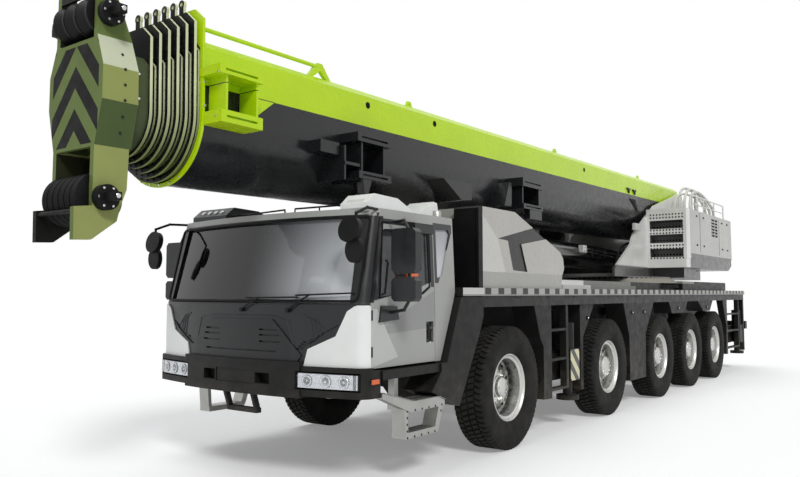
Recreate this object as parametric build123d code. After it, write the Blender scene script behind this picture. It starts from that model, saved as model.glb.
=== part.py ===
"""Five-axle telescopic mobile crane, stowed for the road.

Units are millimetres. Z is up, the vehicle drives towards -Y and its left side is +X.
The origin is on the ground at the middle of the vehicle's length and width. Places along
the vehicle are stations, measured back from the front axle and turned into Y by behind().
Heights are measured from the ground. The boom and its head are drawn in the boom's own
frame, ahead of its pivot and above its axis, and set in place by boom_place.
"""

from build123d import *
import math
import os

os.makedirs("parts", exist_ok=True)

# ---------------------------------------------------------------- driving dimensions

FRONT_AXLE_Y = -3640.0
AXLE_STATIONS = (0.0, 2987.0, 5341.0, 7163.0, 8895.0)
STEERED_AXLES = (1, 2, 4, 5)

CLEARANCE = 6.0
PIN_PLAY = 0.05
BEND_SWELL = 1.15

# wheels and axles
TYRE_RADIUS = 685.0
TYRE_WIDTH = 386.0
TYRE_TREAD_WIDTH = 330.0
TYRE_SHOULDER = 35.0
RIM_FLANGE_RADIUS = 373.0
RIM_WALL = 14.0
RIM_WIDTH = 280.0
WHEEL_PLANE_X = 1307.0
HUB_RADIUS = 150.0
HUB_FACE = 60.0
HUB_CAP_RADIUS = 105.0
HUB_CAP_LENGTH = {1: 130.0, 2: 165.0, 3: 165.0, 4: 165.0, 5: 165.0}
SPINDLE_RADIUS = 55.0
SPINDLE_TIP = 40.0
KINGPIN_X = 1020.0
KINGPIN_RADIUS = 62.0
KNUCKLE_HEIGHT = 210.0
FORK_EAR = 45.0
FORK_WEB = 60.0
BRAKE_RADIUS = 200.0
BRAKE_WIDTH = 60.0
AXLE_BEAM_HALF = 105.0
DIFFERENTIAL_RADIUS = 235.0
DIFFERENTIAL_HALF = 150.0
DIFFERENTIAL_TAPER = 170.0
STRUT_X = 575.0
STRUT_RADIUS = 52.0
STRUT_RISE = 400.0

# chassis
FRAME_HALF_WIDTH = 480.0
FRAME_BOTTOM = 965.0
NOSE_BOTTOM = 830.0
NOSE_TOP = 1040.0
NOSE_FRONT = -2380.0
FRAME_FRONT = -700.0
FRAME_REAR = 11640.0
BRACKET_DEPTH = 120.0
BRACKET_HALF_LENGTH = 90.0
BUMPER_REAR = 11900.0
BUMPER_BEAM = 180.0
REAR_BUMPER_BOTTOM = 900.0
REAR_BUMPER_ARM_X = 300.0
REAR_BUMPER_ARM = 120.0

# deck
DECK_TOP = 1797.0
DECK_THICKNESS = 86.0
DECK_HALF_WIDTH = 1487.0
DECK_FRONT = -1020.0
DECK_REAR = 11600.0
RAIL_FRONT = -600.0
RAIL_HEIGHT = 121.0
RAIL_THICKNESS = 60.0
RAIL_INSET = 27.0
PLINTH_HALF_WIDTH = 1130.0
PLINTH_HEIGHT = 130.0
PLINTH_FRONT = 1760.0
PLINTH_REAR = 8350.0
SIDE_BOX_OUTER_X = 1240.0
SIDE_BOX_WIDTH = 120.0
SIDE_BOX_HEIGHT = 60.0
SIDE_BOX_FRONT = 1950.0
SIDE_BOX_REAR = 4830.0
REAR_BOX_FRONT = 7500.0
REAR_BOX_REAR = 10870.0
REAR_BOX_HEIGHT = 180.0
REAR_BOX_INNER_X = 900.0

# side panels and mudguards
PANEL_OUTER_X = 1458.0
PANEL_INNER_X = 1150.0
PANEL_THICKNESS = 50.0
GUARD_OUTER_X = 1480.0
GUARD_TOP = 1700.0
RUNG_HEIGHT = 32.0
RUNG_DEPTH = 90.0
RUNG_COUNT = 3
RUNG_PITCH = 370.0
LADDER_FOOT = 520.0
LADDER_STILE = 70.0
LADDER_TO_BEAM = 40.0

# outriggers
OUTRIGGER_STATIONS = {"front": 1665.0, "rear": 11200.0}
BEAM_WIDTH = 290.0
BEAM_HEIGHT = 330.0
BEAM_BOTTOM = 625.0
BOX_WALL = 22.0
BOX_HALF_LENGTH = 1225.0
BEAM_LENGTH = 2500.0
BEAM_STANDOUT = 15.0
JACK_TUBE_RADIUS = 95.0
JACK_TUBE_TOP = 1350.0
JACK_TUBE_CAP = 30.0
JACK_ROD_RADIUS = 62.0
FOOT_RADIUS = 148.0
FOOT_HEIGHT = 60.0
FOOT_BOTTOM = 345.0
END_PLATE = 22.0
END_PLATE_RISE = 55.0

# driver's cab
CAB_HALF_WIDTH = 1403.0
CAB_FRONT = -2495.0
CAB_FRONT_BOW = 190.0
CAB_REAR = -1036.0
CAB_BOTTOM = 1072.0
CAB_BELT = 1640.0
CAB_ROOF = 2511.0
CAB_ROOF_HALF_WIDTH = 1365.0
CAB_ROOF_FRONT = -2290.0
CAB_CORNER_RADIUS = 110.0
CAB_GUARD_FOOT = -1320.0
CAB_GUARD_TOP = 1755.0
CAB_WALL = 45.0
WINDSCREEN_HALF_WIDTH = 1215.0
WINDSCREEN_FLARE = 40.0
WINDSCREEN_SILL = 10.0
WINDSCREEN_TOP = 2420.0
REAR_WINDOW_HALF_WIDTH = 700.0
REAR_WINDOW_BOTTOM = 1800.0
REAR_WINDOW_TOP = 2300.0
GLASS_THICKNESS = 8.0
GLASS_GAP = 1.0
DOOR_FRONT = -2430.0
DOOR_REAR = -1410.0
DOOR_TOP = 2420.0
DOOR_FRONT_TOP = -2258.0
DOOR_GAP = 7.0
HINGE_OFFSET = 8.0
HINGE_SETBACK = 9.0
HINGE_RADIUS = 9.0
HINGE_LENGTH = 90.0
PANEL_RELIEF = 12.0
GROOVE_HEIGHT = 16.0
HANDLE_RECESS_DEPTH = 26.0

# mirrors and roof pods
MIRROR_INNER_X = 1494.0
MIRROR_WIDTH = 266.0
MIRROR_DEPTH = 95.0
MIRROR_STATION = -2245.0
MIRROR_ARM_RADIUS = 15.0
ROUND_MIRROR_RADIUS = 115.0
OVAL_MIRROR_HALF = (92.0, 112.0)
POD_HEIGHT = 140.0
WEDGE_HEIGHT = 178.0

# bumper
BUMPER_OUTSET = 40.0
BUMPER_CENTRE_OUTSET = 60.0
BUMPER_CENTRE_HALF = 800.0
BUMPER_THICKNESS = 160.0
BUMPER_END = -2330.0
BUMPER_BOTTOM = 825.0
BUMPER_TOP = 1090.0
BUMPER_CENTRE_RISE = 36.0
BUMPER_CENTRE_DROP = 19.0
LAMP_INNER_X = 752.0
LAMP_OUTER_X = 1385.0
LAMP_BOTTOM = 885.0
LAMP_TOP = 1045.0
LAMP_DEPTH = 64.0
TOW_HOLE_X = 370.0
TOW_HOLE_WIDTH = 180.0
TOW_HOLE_HEIGHT = 100.0
TOW_HOLE_BOTTOM = 910.0
FRONT_STEP_X = 190.0
FRONT_STEP_BAR = 34.0

# steps below the doors
STEP_OUTER_X = 1462.0
STEP_INNER_X = 1190.0
STEP_TREAD_TOP = 747.0
STEP_TREAD_BOTTOM = 648.0
STIRRUP_TOP = 465.0
STIRRUP_BOTTOM = 408.0
SILL_BOTTOM = 977.0
SILL_TOP = 1056.0

# engine housing
HOUSING_HALF_WIDTH = 1450.0
HOUSING_WALL = 26.0
HOUSING_TOP = 2680.0
HOUSING_FRONT = -555.0
HOUSING_RECESS = 13.0
COVER_DEPTH = 85.0
COVER_WIDTH = 313.0
BULKHEAD_TOP = 2560.0
ENGINE_FRONT = -300.0
ENGINE_LENGTH = 1500.0
ENGINE_WIDTH = 900.0
ENGINE_HEIGHT = 400.0

# superstructure
SLEW_STATION = 7000.0
SLEW_RING_RADIUS = 1110.0
SLEW_BORE_RADIUS = 960.0
SLEW_SPIGOT_GAP = 20.0
APRON_RADIUS = 1260.0
APRON_HEIGHT = 105.0
TURNTABLE_BOTTOM = 2045.0
TURNTABLE_FLOOR = 60.0
TURNTABLE_FRONT = 5600.0
TURNTABLE_REAR = 11000.0
TAIL_PLATE_TOP = 2650.0
TAIL_PLATE = 40.0
SIDE_PLATE_X = 612.0
SIDE_PLATE_THICKNESS = 45.0
CAB_OUTRIGGER_FRONT = 5500.0
HOOD_OUTER_X = 1420.0
HOOD_FRONT = 7210.0
HOOD_REAR = 10770.0
HOOD_BOTTOM = 2240.0
HOOD_TOP = 3390.0
HOOD_BAND = 12.0
HOOD_HANGER_REAR = 8370.0
STEP_COUNT = 3
STEP_DEPTH = 230.0
STEP_FIRST_TOP = 3160.0
STEP_PITCH = 277.0
STEP_OPENING = 165.0
STEP_MARGIN = 62.0
LOUVRE_FRONT = 9060.0
LOUVRE_LENGTH = 230.0
LOUVRE_GAP = 30.0
LOUVRE_BOTTOM = 2940.0
LOUVRE_COUNT = 6
LOUVRE_PITCH = 66.0
LOUVRE_HEIGHT = 40.0
LOUVRE_DEPTH = 20.0
OPERATOR_CAB_FRONT = 4900.0
OPERATOR_CAB_REAR = 6600.0
OPERATOR_CAB_TOP = 3350.0
OPERATOR_CAB_INNER_X = 700.0
OPERATOR_CAB_RAKE = 260.0
OPERATOR_CAB_BELT = 650.0
OPERATOR_WALL = 40.0
OPERATOR_DOOR_FRONT = 330.0
OPERATOR_DOOR_LENGTH = 630.0
OPERATOR_DOOR_LAP = 20.0
OPERATOR_DOOR_THICKNESS = 30.0
OPERATOR_DOOR_TRAVEL = 600.0
WINCH_STATION = 10620.0
WINCH_Z = 2760.0
WINCH_RADIUS = 330.0
WINCH_DRUM_RADIUS = 250.0
WINCH_FLANGE = 30.0

# boom
BOOM_PIVOT_STATION = 9100.0
BOOM_PIVOT_Z = 3400.0
BOOM_TILT = 0.9
BOOM_ABOVE_PIVOT = 670.0
BOOM_BELOW_PIVOT = 520.0
BOOM_HALF_WIDTH = 550.0
BOOM_CORNER = 66.0
BOOM_FRONT_REACH = 12700.0
BOOM_TAIL = 600.0
SECTION_COUNT = 7
SECTION_STEP = 35.0
SECTION_WALL = 12.0
SECTION_LENGTH = 11800.0
COLLAR_LENGTH = 26.0
COLLAR_PITCH = 60.0
COLLAR_RISE = 22.0
COLLAR_SHOULDER = 170.0
COLLAR_TOP = 265.0
COLLAR_CHAMFER = 85.0
LUG_RADIUS = 38.0
LUG_HOLE_RADIUS = 16.0
LUG_RISE = 80.0
NECK = 119.0
BOOM_PIN_RADIUS = 110.0
TUBE_X = 470.0
TUBE_RADIUS = 20.0
TUBE_ABOVE = 118.0
TUBE_LENGTH = 1510.0

# boom head
HEAD_NARROW_HALF = 295.0
HEAD_WIDE_HALF = 385.0
HEAD_PLATE = 50.0
HEAD_FRONT_PLATE = 40.0
TOP_BAR_DEPTH = 25.0
END_WALL = 30.0
LOWER_SHEAVE_RADIUS = 200.0
UPPER_SHEAVE_RADIUS = 160.0
SHEAVE_GROOVE = 28.0
SHEAVE_PIN_RADIUS = 62.0
SHEAVE_GAP = 6.0
PIN_BOSS_RADIUS = 100.0
PIN_BOSS_LENGTH = 70.0
PIN_BAR = 64.0
PIN_BAR_LENGTH = 130.0
UPPER_PIN_AHEAD = 212.0
UPPER_PIN_UP = 734.0
UPPER_SHEAVES = 3
LOWER_PIN_AHEAD = 237.0
LOWER_PIN_UP = -717.0
LOWER_SHEAVES = 6

# derricking cylinder
CYLINDER_BASE_STATION = 7400.0
CYLINDER_BASE_Z = 2400.0
ROD_EYE_STATION = 2000.0
ROD_EYE_Z = 2480.0
BARREL_RADIUS = 215.0
BARREL_BORE = 168.0
ROD_RADIUS = 155.0
CYLINDER_PIN_RADIUS = 75.0
EYE_WALL = 70.0
EYE_WIDTH = 200.0
LUG_PLATE = 60.0
PIN_CAP = 40.0

nodes = {}


# ---------------------------------------------------------------- helpers

def behind(station):
    """Y of a place measured back from the front axle."""
    return FRONT_AXLE_Y + station


def block(x0, x1, s0, s1, z0, z1):
    """Box between two X, two stations and two heights."""
    size = Box(x1 - x0, s1 - s0, z1 - z0)
    return Pos((x0 + x1) / 2, behind((s0 + s1) / 2), (z0 + z1) / 2) * size


def side_prism(outline, x0, x1):
    """Extrude a (station, Z) outline across the vehicle."""
    face = make_face(Polyline(*[(behind(s), z) for s, z in outline], close=True))
    return extrude(Plane.YZ.offset(x0) * face, amount=x1 - x0)


def front_prism(outline, s0, s1):
    """Extrude an (X, Z) outline along the vehicle between two stations."""
    plane = Plane(origin=(0, behind(s1), 0), x_dir=(1, 0, 0), z_dir=(0, -1, 0))
    return extrude(plane * make_face(Polyline(*outline, close=True)), amount=s1 - s0)


def rod(start, end, radius):
    """Round bar between two (X, station, Z) points."""
    start = Vector(start[0], behind(start[1]), start[2])
    axis = Vector(end[0], behind(end[1]), end[2]) - start
    plane = Plane(origin=start, z_dir=axis.normalized())
    return extrude(plane * Circle(radius), amount=axis.length)


def cross_rod(station, z, radius, x0, x1):
    """Round bar across the vehicle."""
    return rod((x0, station, z), (x1, station, z), radius)


def bent_rod(points, radius):
    """Round bar through several (X, station, Z) points, with a ball joint at each bend."""
    runs = [rod(a, b, radius) for a, b in zip(points, points[1:])]
    balls = [Pos(x, behind(s), z) * Sphere(radius * BEND_SWELL) for x, s, z in points[1:-1]]
    return fuse(runs + balls)


def on_side(shape, side):
    """The shape as built on +X, or its mirror image on -X."""
    return shape if side > 0 else mirror(shape, about=Plane.YZ)


def both_sides(shape):
    """The shape and its mirror image, as separate solids."""
    return [shape, on_side(shape, -1)]


def group(shapes):
    """Solids of one node, kept apart."""
    found = []
    for shape in shapes:
        found.extend(shape.solids())
    return Compound(found)


def fuse(shapes):
    """One body from several shapes."""
    shapes = list(shapes)
    return shapes[0].fuse(*shapes[1:]) if len(shapes) > 1 else shapes[0]


# ---------------------------------------------------------------- wheels and axles

def wheel(number, side):
    """Tyre and disc rim as two solids, with the wheel's axis along X."""
    half = TYRE_WIDTH / 2
    tread = TYRE_TREAD_WIDTH / 2
    bead = RIM_FLANGE_RADIUS - RIM_WALL
    flank = (bead + TYRE_RADIUS) / 2
    shoulder = TYRE_RADIUS - TYRE_SHOULDER
    section = make_face(
        Polyline(
            (-RIM_WIDTH / 2, bead),
            (-half, flank),
            (-tread, shoulder),
            (-tread + TYRE_SHOULDER, TYRE_RADIUS),
            (tread - TYRE_SHOULDER, TYRE_RADIUS),
            (tread, shoulder),
            (half, flank),
            (RIM_WIDTH / 2, bead),
            close=True,
        )
    )
    tyre = revolve(section, Axis.X)
    outer = bead - 1
    inner = outer - RIM_WALL
    well = RIM_WIDTH / 2
    disc = -HUB_FACE
    cap = disc + HUB_CAP_LENGTH[number]
    profile = [
        (-well, outer),
        (well, outer),
        (well, inner),
        (disc + 75, inner),
        (disc + 20, HUB_RADIUS + 40),
        (disc + 60, HUB_RADIUS),
        (disc + 60, HUB_CAP_RADIUS),
        (cap - 20, HUB_CAP_RADIUS - 8),
        (cap, HUB_CAP_RADIUS - 30),
        (cap, 0),
        (disc + SPINDLE_TIP + 5, 0),
        (disc + SPINDLE_TIP + 5, SPINDLE_RADIUS + 2),
        (disc - SPINDLE_TIP, SPINDLE_RADIUS + 2),
        (disc - SPINDLE_TIP, HUB_RADIUS - 20),
        (disc, HUB_RADIUS + 30),
        (disc + 50, inner),
        (-well, inner),
    ]
    rim = revolve(make_face(Polyline(*profile, close=True)), Axis.X)
    place = Pos(WHEEL_PLANE_X, behind(AXLE_STATIONS[number - 1]), TYRE_RADIUS)
    return group([on_side(place * tyre, side), on_side(place * rim, side)])


def brake_inner_x():
    """X of the brake disc's inner face."""
    return WHEEL_PLANE_X - HUB_FACE - SPINDLE_TIP - CLEARANCE - BRAKE_WIDTH


def knuckle(station, side):
    """Kingpin barrel, spindle and brake disc of a steered wheel."""
    low = TYRE_RADIUS - KNUCKLE_HEIGHT / 2
    barrel = rod((KINGPIN_X, station, low), (KINGPIN_X, station, low + KNUCKLE_HEIGHT), KINGPIN_RADIUS)
    tip = WHEEL_PLANE_X - HUB_FACE + SPINDLE_TIP
    spindle = cross_rod(station, TYRE_RADIUS, SPINDLE_RADIUS, KINGPIN_X, tip)
    brake = cross_rod(station, TYRE_RADIUS, BRAKE_RADIUS, brake_inner_x(), brake_inner_x() + BRAKE_WIDTH)
    return on_side(fuse([barrel, spindle, brake]), side)


def differential():
    """Turned casing at the middle of an axle, along X."""
    half = DIFFERENTIAL_HALF
    outer = half + DIFFERENTIAL_TAPER
    outline = [
        (-outer, 0),
        (-outer, AXLE_BEAM_HALF),
        (-half, DIFFERENTIAL_RADIUS),
        (half, DIFFERENTIAL_RADIUS),
        (outer, AXLE_BEAM_HALF),
        (outer, 0),
    ]
    return revolve(make_face(Polyline(*outline, close=True)), Axis.X)


def axle(station, steered):
    """Axle beam with its differential, and a fork or a spindle at each end."""
    z = TYRE_RADIUS
    half = AXLE_BEAM_HALF
    pin = KINGPIN_RADIUS
    inner = KINGPIN_X - pin - CLEARANCE
    parts = [
        block(-inner, inner, station - half, station + half, z - half, z + half),
        Pos(0, behind(station), z) * differential(),
    ]
    if steered:
        gap = KNUCKLE_HEIGHT / 2 + CLEARANCE / 2
        tip = KINGPIN_X + pin
        for low in (z - gap - FORK_EAR, z + gap):
            ear = block(inner - FORK_WEB, tip, station - pin, station + pin, low, low + FORK_EAR)
            parts.extend(both_sides(ear))
        web = block(
            inner - FORK_WEB, inner, station - pin, station + pin,
            z - gap - FORK_EAR, z + gap + FORK_EAR,
        )
        parts.extend(both_sides(web))
    else:
        tip = WHEEL_PLANE_X - HUB_FACE + SPINDLE_TIP
        parts.append(cross_rod(station, z, SPINDLE_RADIUS, -tip, tip))
        brake = cross_rod(station, z, BRAKE_RADIUS, brake_inner_x(), brake_inner_x() + BRAKE_WIDTH)
        parts.extend(both_sides(brake))
    strut = rod((STRUT_X, station, z), (STRUT_X, station, FRAME_BOTTOM + STRUT_RISE), STRUT_RADIUS)
    parts.extend(both_sides(strut))
    return fuse(parts)


for number, station in enumerate(AXLE_STATIONS, start=1):
    for label, side in (("left", 1), ("right", -1)):
        nodes[f"wheel_{number}_{label}"] = wheel(number, side)
        if number in STEERED_AXLES:
            nodes[f"knuckle_{number}_{label}"] = knuckle(station, side)

nodes["axles"] = group(
    [axle(station, number in STEERED_AXLES) for number, station in enumerate(AXLE_STATIONS, start=1)]
)


# ---------------------------------------------------------------- chassis

def outrigger_tunnels(station):
    """(label, side, first station) of the two beams in one outrigger box."""
    middle_wall = BOX_WALL + 2 * CLEARANCE
    return (
        ("right", -1, station - middle_wall / 2 - BEAM_WIDTH),
        ("left", 1, station + middle_wall / 2),
    )


def outrigger_box(station):
    """Cross box with one tunnel for each sliding beam."""
    half = BEAM_WIDTH + BOX_WALL * 1.5 + CLEARANCE * 2
    low = BEAM_BOTTOM - CLEARANCE
    high = BEAM_BOTTOM + BEAM_HEIGHT + CLEARANCE
    reach = BOX_HALF_LENGTH
    outer = block(-reach, reach, station - half, station + half, low - BOX_WALL, high + BOX_WALL)
    for _, _, first in outrigger_tunnels(station):
        outer -= block(-reach, reach, first - CLEARANCE, first + BEAM_WIDTH + CLEARANCE, low, high)
    return outer


def chassis():
    """Main box girder with its low nose, strut brackets and outrigger boxes."""
    under_deck = DECK_TOP - DECK_THICKNESS
    step = FRAME_FRONT - 200
    girder = side_prism(
        [
            (NOSE_FRONT, NOSE_BOTTOM),
            (step - 60, NOSE_BOTTOM),
            (FRAME_FRONT, FRAME_BOTTOM),
            (FRAME_REAR, FRAME_BOTTOM),
            (FRAME_REAR, under_deck),
            (step, under_deck),
            (step, NOSE_TOP),
            (NOSE_FRONT, NOSE_TOP),
        ],
        -FRAME_HALF_WIDTH,
        FRAME_HALF_WIDTH,
    )
    parts = [girder]
    low = FRAME_BOTTOM + STRUT_RISE
    outer = STRUT_X + STRUT_RADIUS + 2 * CLEARANCE
    for station in AXLE_STATIONS:
        bracket = block(
            FRAME_HALF_WIDTH, outer,
            station - BRACKET_HALF_LENGTH, station + BRACKET_HALF_LENGTH, low, low + BRACKET_DEPTH,
        )
        parts.extend(both_sides(bracket))
    parts.extend(outrigger_box(station) for station in OUTRIGGER_STATIONS.values())
    return fuse(parts)


nodes["chassis_frame"] = chassis()


def deck():
    """Deck with its deep edge, side rails, the plinth under the slewing ring and low side boxes."""
    under = DECK_TOP - DECK_THICKNESS
    plate = block(-DECK_HALF_WIDTH, DECK_HALF_WIDTH, DECK_FRONT, DECK_REAR, under, DECK_TOP)
    outer = DECK_HALF_WIDTH - RAIL_INSET
    rail = block(outer - RAIL_THICKNESS, outer, RAIL_FRONT, DECK_REAR, under - RAIL_HEIGHT, under)
    plinth = block(
        -PLINTH_HALF_WIDTH, PLINTH_HALF_WIDTH, PLINTH_FRONT, PLINTH_REAR,
        DECK_TOP, DECK_TOP + PLINTH_HEIGHT,
    )
    side_box = block(
        SIDE_BOX_OUTER_X - SIDE_BOX_WIDTH, SIDE_BOX_OUTER_X, SIDE_BOX_FRONT, SIDE_BOX_REAR,
        DECK_TOP, DECK_TOP + SIDE_BOX_HEIGHT,
    )
    top = DECK_TOP + REAR_BOX_HEIGHT
    rear_box = side_prism(
        [
            (REAR_BOX_FRONT, DECK_TOP),
            (REAR_BOX_FRONT, top),
            (REAR_BOX_REAR, top),
            (REAR_BOX_REAR, DECK_TOP),
        ],
        REAR_BOX_INNER_X,
        SIDE_BOX_OUTER_X,
    )
    return fuse([plate, plinth] + both_sides(rail) + both_sides(side_box) + both_sides(rear_box))


RAIL_BOTTOM = DECK_TOP - DECK_THICKNESS - RAIL_HEIGHT

# (inner X, outer X, (station, Z) outline) of the guards, chests and hangers
SIDE_PANELS = (
    (
        PANEL_INNER_X,
        PANEL_OUTER_X - PANEL_THICKNESS,
        [(2110, RAIL_BOTTOM), (2610, RAIL_BOTTOM), (2205, 1150), (2200, 445), (2110, 445)],
    ),
    (
        PANEL_INNER_X,
        PANEL_OUTER_X,
        [(3640, RAIL_BOTTOM), (5050, RAIL_BOTTOM), (4620, 1090), (4600, 400), (3870, 400), (3870, 1080)],
    ),
    (
        PANEL_INNER_X,
        PANEL_OUTER_X,
        [(5890, RAIL_BOTTOM), (7010, RAIL_BOTTOM), (6810, 1385), (6040, 1385)],
    ),
    (
        PANEL_INNER_X,
        PANEL_OUTER_X,
        [(7725, RAIL_BOTTOM), (8830, RAIL_BOTTOM), (8590, 1385), (8105, 1385)],
    ),
    (
        PANEL_OUTER_X - 2 * PANEL_THICKNESS,
        PANEL_OUTER_X,
        [(11520, RAIL_BOTTOM), (11600, RAIL_BOTTOM), (11600, 410), (11520, 410)],
    ),
)
WHEEL_1_REAR_GUARD = [
    (640, RAIL_BOTTOM), (1105, RAIL_BOTTOM), (1105, 440), (880, 450), (880, 1090), (790, 1200),
]
REAR_LADDER_STILE = [(9640, RAIL_BOTTOM), (10010, RAIL_BOTTOM), (10010, 420), (9870, 420), (9940, 1030)]


def front_guard():
    """Guard ahead of the first wheel, with the sill bar that runs forward below the door."""
    slope = (CAB_REAR - CAB_GUARD_FOOT) / (CAB_GUARD_TOP - CAB_BOTTOM)
    top_station = CAB_REAR - (CAB_GUARD_TOP - GUARD_TOP) * slope + 2 * CLEARANCE
    under_cab = CAB_BOTTOM - 2 * CLEARANCE
    guard = side_prism(
        [
            (top_station, GUARD_TOP),
            (RAIL_FRONT, GUARD_TOP),
            (RAIL_FRONT, RAIL_BOTTOM - 100),
            (-694, 1298),
            (-1089, 612),
            (-1583, 800),
            (-1413, 984),
            (-1413, under_cab),
            (CAB_GUARD_FOOT + CLEARANCE, under_cab),
        ],
        PANEL_INNER_X,
        GUARD_OUTER_X,
    )
    front = BUMPER_END + 2 * CLEARANCE
    sill = block(PANEL_INNER_X, GUARD_OUTER_X - 20, front, -1400, SILL_BOTTOM, SILL_TOP)
    return fuse([guard, sill])


def ladder(first, beam_first):
    """Rungs and the far stile of a ladder just ahead of an outrigger beam."""
    far = beam_first - LADDER_TO_BEAM
    outer = PANEL_OUTER_X - BEAM_STANDOUT
    inner = outer - RUNG_DEPTH
    parts = [block(inner, outer, far - LADDER_STILE, far, LADDER_FOOT, RAIL_BOTTOM)]
    for index in range(RUNG_COUNT):
        z = LADDER_FOOT + index * RUNG_PITCH
        parts.append(block(inner, outer, first, far, z, z + RUNG_HEIGHT))
    return parts


def side_frames():
    """Guards, chests and hangers of both sides, with the ladders beside the outriggers."""
    shapes = both_sides(front_guard())
    for inner, outer, outline in SIDE_PANELS:
        shapes.extend(both_sides(side_prism(outline, inner, outer)))
    front_stile = side_prism(WHEEL_1_REAR_GUARD, PANEL_INNER_X, PANEL_OUTER_X)
    rear_stile = side_prism(REAR_LADDER_STILE, PANEL_OUTER_X - 130, PANEL_OUTER_X)
    for place, stile, near in (("front", front_stile, 1100), ("rear", rear_stile, 10005)):
        for _, side, first in outrigger_tunnels(OUTRIGGER_STATIONS[place]):
            shapes.append(on_side(fuse([stile] + ladder(near, first)), side))
    return shapes


nodes["side_frames"] = group(side_frames())


# ---------------------------------------------------------------- outriggers

def beam_and_jack(side, first):
    """One sliding beam with its jack tube, and the jack rod with its foot."""
    last = first + BEAM_WIDTH
    middle = (first + last) / 2
    outer = BOX_HALF_LENGTH + BEAM_STANDOUT
    jack_x = outer + JACK_TUBE_RADIUS
    top = BEAM_BOTTOM + BEAM_HEIGHT
    low = BEAM_BOTTOM - 20
    beam = block(outer - BEAM_LENGTH, outer + 10, first, last, BEAM_BOTTOM, top)
    tube = rod((jack_x, middle, low), (jack_x, middle, JACK_TUBE_TOP), JACK_TUBE_RADIUS)
    bore_top = JACK_TUBE_TOP - JACK_TUBE_CAP
    bore = rod((jack_x, middle, low), (jack_x, middle, bore_top), JACK_ROD_RADIUS + CLEARANCE)
    plate_x = jack_x + JACK_TUBE_RADIUS - 5
    plate = block(plate_x, plate_x + END_PLATE, first, last, low, top + END_PLATE_RISE)
    carrier = fuse([beam, tube, plate]) - bore
    foot_top = FOOT_BOTTOM + FOOT_HEIGHT
    shaft_top = bore_top - JACK_TUBE_CAP
    shaft = rod((jack_x, middle, foot_top), (jack_x, middle, shaft_top), JACK_ROD_RADIUS)
    foot = rod((jack_x, middle, FOOT_BOTTOM), (jack_x, middle, foot_top), FOOT_RADIUS)
    return on_side(carrier, side), on_side(fuse([shaft, foot]), side)


for place, station in OUTRIGGER_STATIONS.items():
    for label, side, first in outrigger_tunnels(station):
        carrier, jack = beam_and_jack(side, first)
        nodes[f"outrigger_beam_{place}_{label}"] = carrier
        nodes[f"jack_{place}_{label}"] = jack


# ---------------------------------------------------------------- driver's cab

def cab_plan(half, front, rear, radius):
    """Plan of the cab at one height, with its bowed nose and rounded front corners."""
    near = behind(front)
    far = behind(rear)
    sides = Polyline((half, near), (half, far), (-half, far), (-half, near))
    nose = ThreePointArc((-half, near), (0, near - CAB_FRONT_BOW), (half, near))
    plan = make_face(sides + nose)
    corners = plan.vertices().sort_by(Axis.Y)[:2]
    return fillet(corners, radius)


def belt_plan(inset):
    """Plan of the cab up to its belt, drawn in by an inset."""
    radius = max(CAB_CORNER_RADIUS - inset, 20)
    return cab_plan(CAB_HALF_WIDTH - inset, CAB_FRONT + inset, CAB_REAR - inset, radius)


def roof_plan(inset):
    """Plan of the cab's roof, drawn in by an inset."""
    radius = max(CAB_CORNER_RADIUS - inset, 20)
    return cab_plan(CAB_ROOF_HALF_WIDTH - inset, CAB_ROOF_FRONT + inset, CAB_REAR - inset, radius)


def cab_body(inset):
    """Outer form of the cab, drawn in by an inset on every side."""
    low = CAB_BOTTOM + inset
    high = CAB_ROOF - inset
    lower = extrude(Pos(0, 0, low) * belt_plan(inset), amount=CAB_BELT - low)
    upper = loft([Pos(0, 0, CAB_BELT) * belt_plan(inset), Pos(0, 0, high) * roof_plan(inset)], ruled=True)
    ahead = CAB_FRONT - 2 * CAB_FRONT_BOW
    side = side_prism(
        [
            (ahead, low),
            (CAB_GUARD_FOOT - inset, low),
            (CAB_REAR - inset, CAB_GUARD_TOP - inset),
            (CAB_REAR - inset, high),
            (ahead, high),
        ],
        -2 * CAB_HALF_WIDTH,
        2 * CAB_HALF_WIDTH,
    )
    return fuse([lower, upper]) & side


def cab_skin(outer, inner):
    """Layer of the cab between two depths below its outer form."""
    return cab_body(outer) - cab_body(inner)


def nose_prism(outline):
    """Extrude an (X, Z) outline through the cab's nose."""
    return front_prism(outline, CAB_FRONT - 2 * CAB_FRONT_BOW, CAB_ROOF_FRONT + 2 * CAB_WALL)


def door_prism(inset, x0, x1):
    """Side outline of the door, drawn in by an inset."""
    low = CAB_BOTTOM + inset
    return side_prism(
        [
            (DOOR_FRONT + inset, low),
            (DOOR_REAR - inset, low),
            (DOOR_REAR - inset, DOOR_TOP - inset),
            (DOOR_FRONT_TOP + inset, DOOR_TOP - inset),
            (DOOR_FRONT + inset, CAB_BELT),
        ],
        x0,
        x1,
    )


def window_prism(outline, inset, x0, x1):
    """Window outline drawn in towards its middle by an inset."""
    mid_s = sum(s for s, _ in outline) / len(outline)
    mid_z = sum(z for _, z in outline) / len(outline)
    half_s = max(abs(s - mid_s) for s, _ in outline)
    half_z = max(abs(z - mid_z) for _, z in outline)
    points = [
        (mid_s + (s - mid_s) * (1 - inset / half_s), mid_z + (z - mid_z) * (1 - inset / half_z))
        for s, z in outline
    ]
    return side_prism(points, x0, x1)


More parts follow.
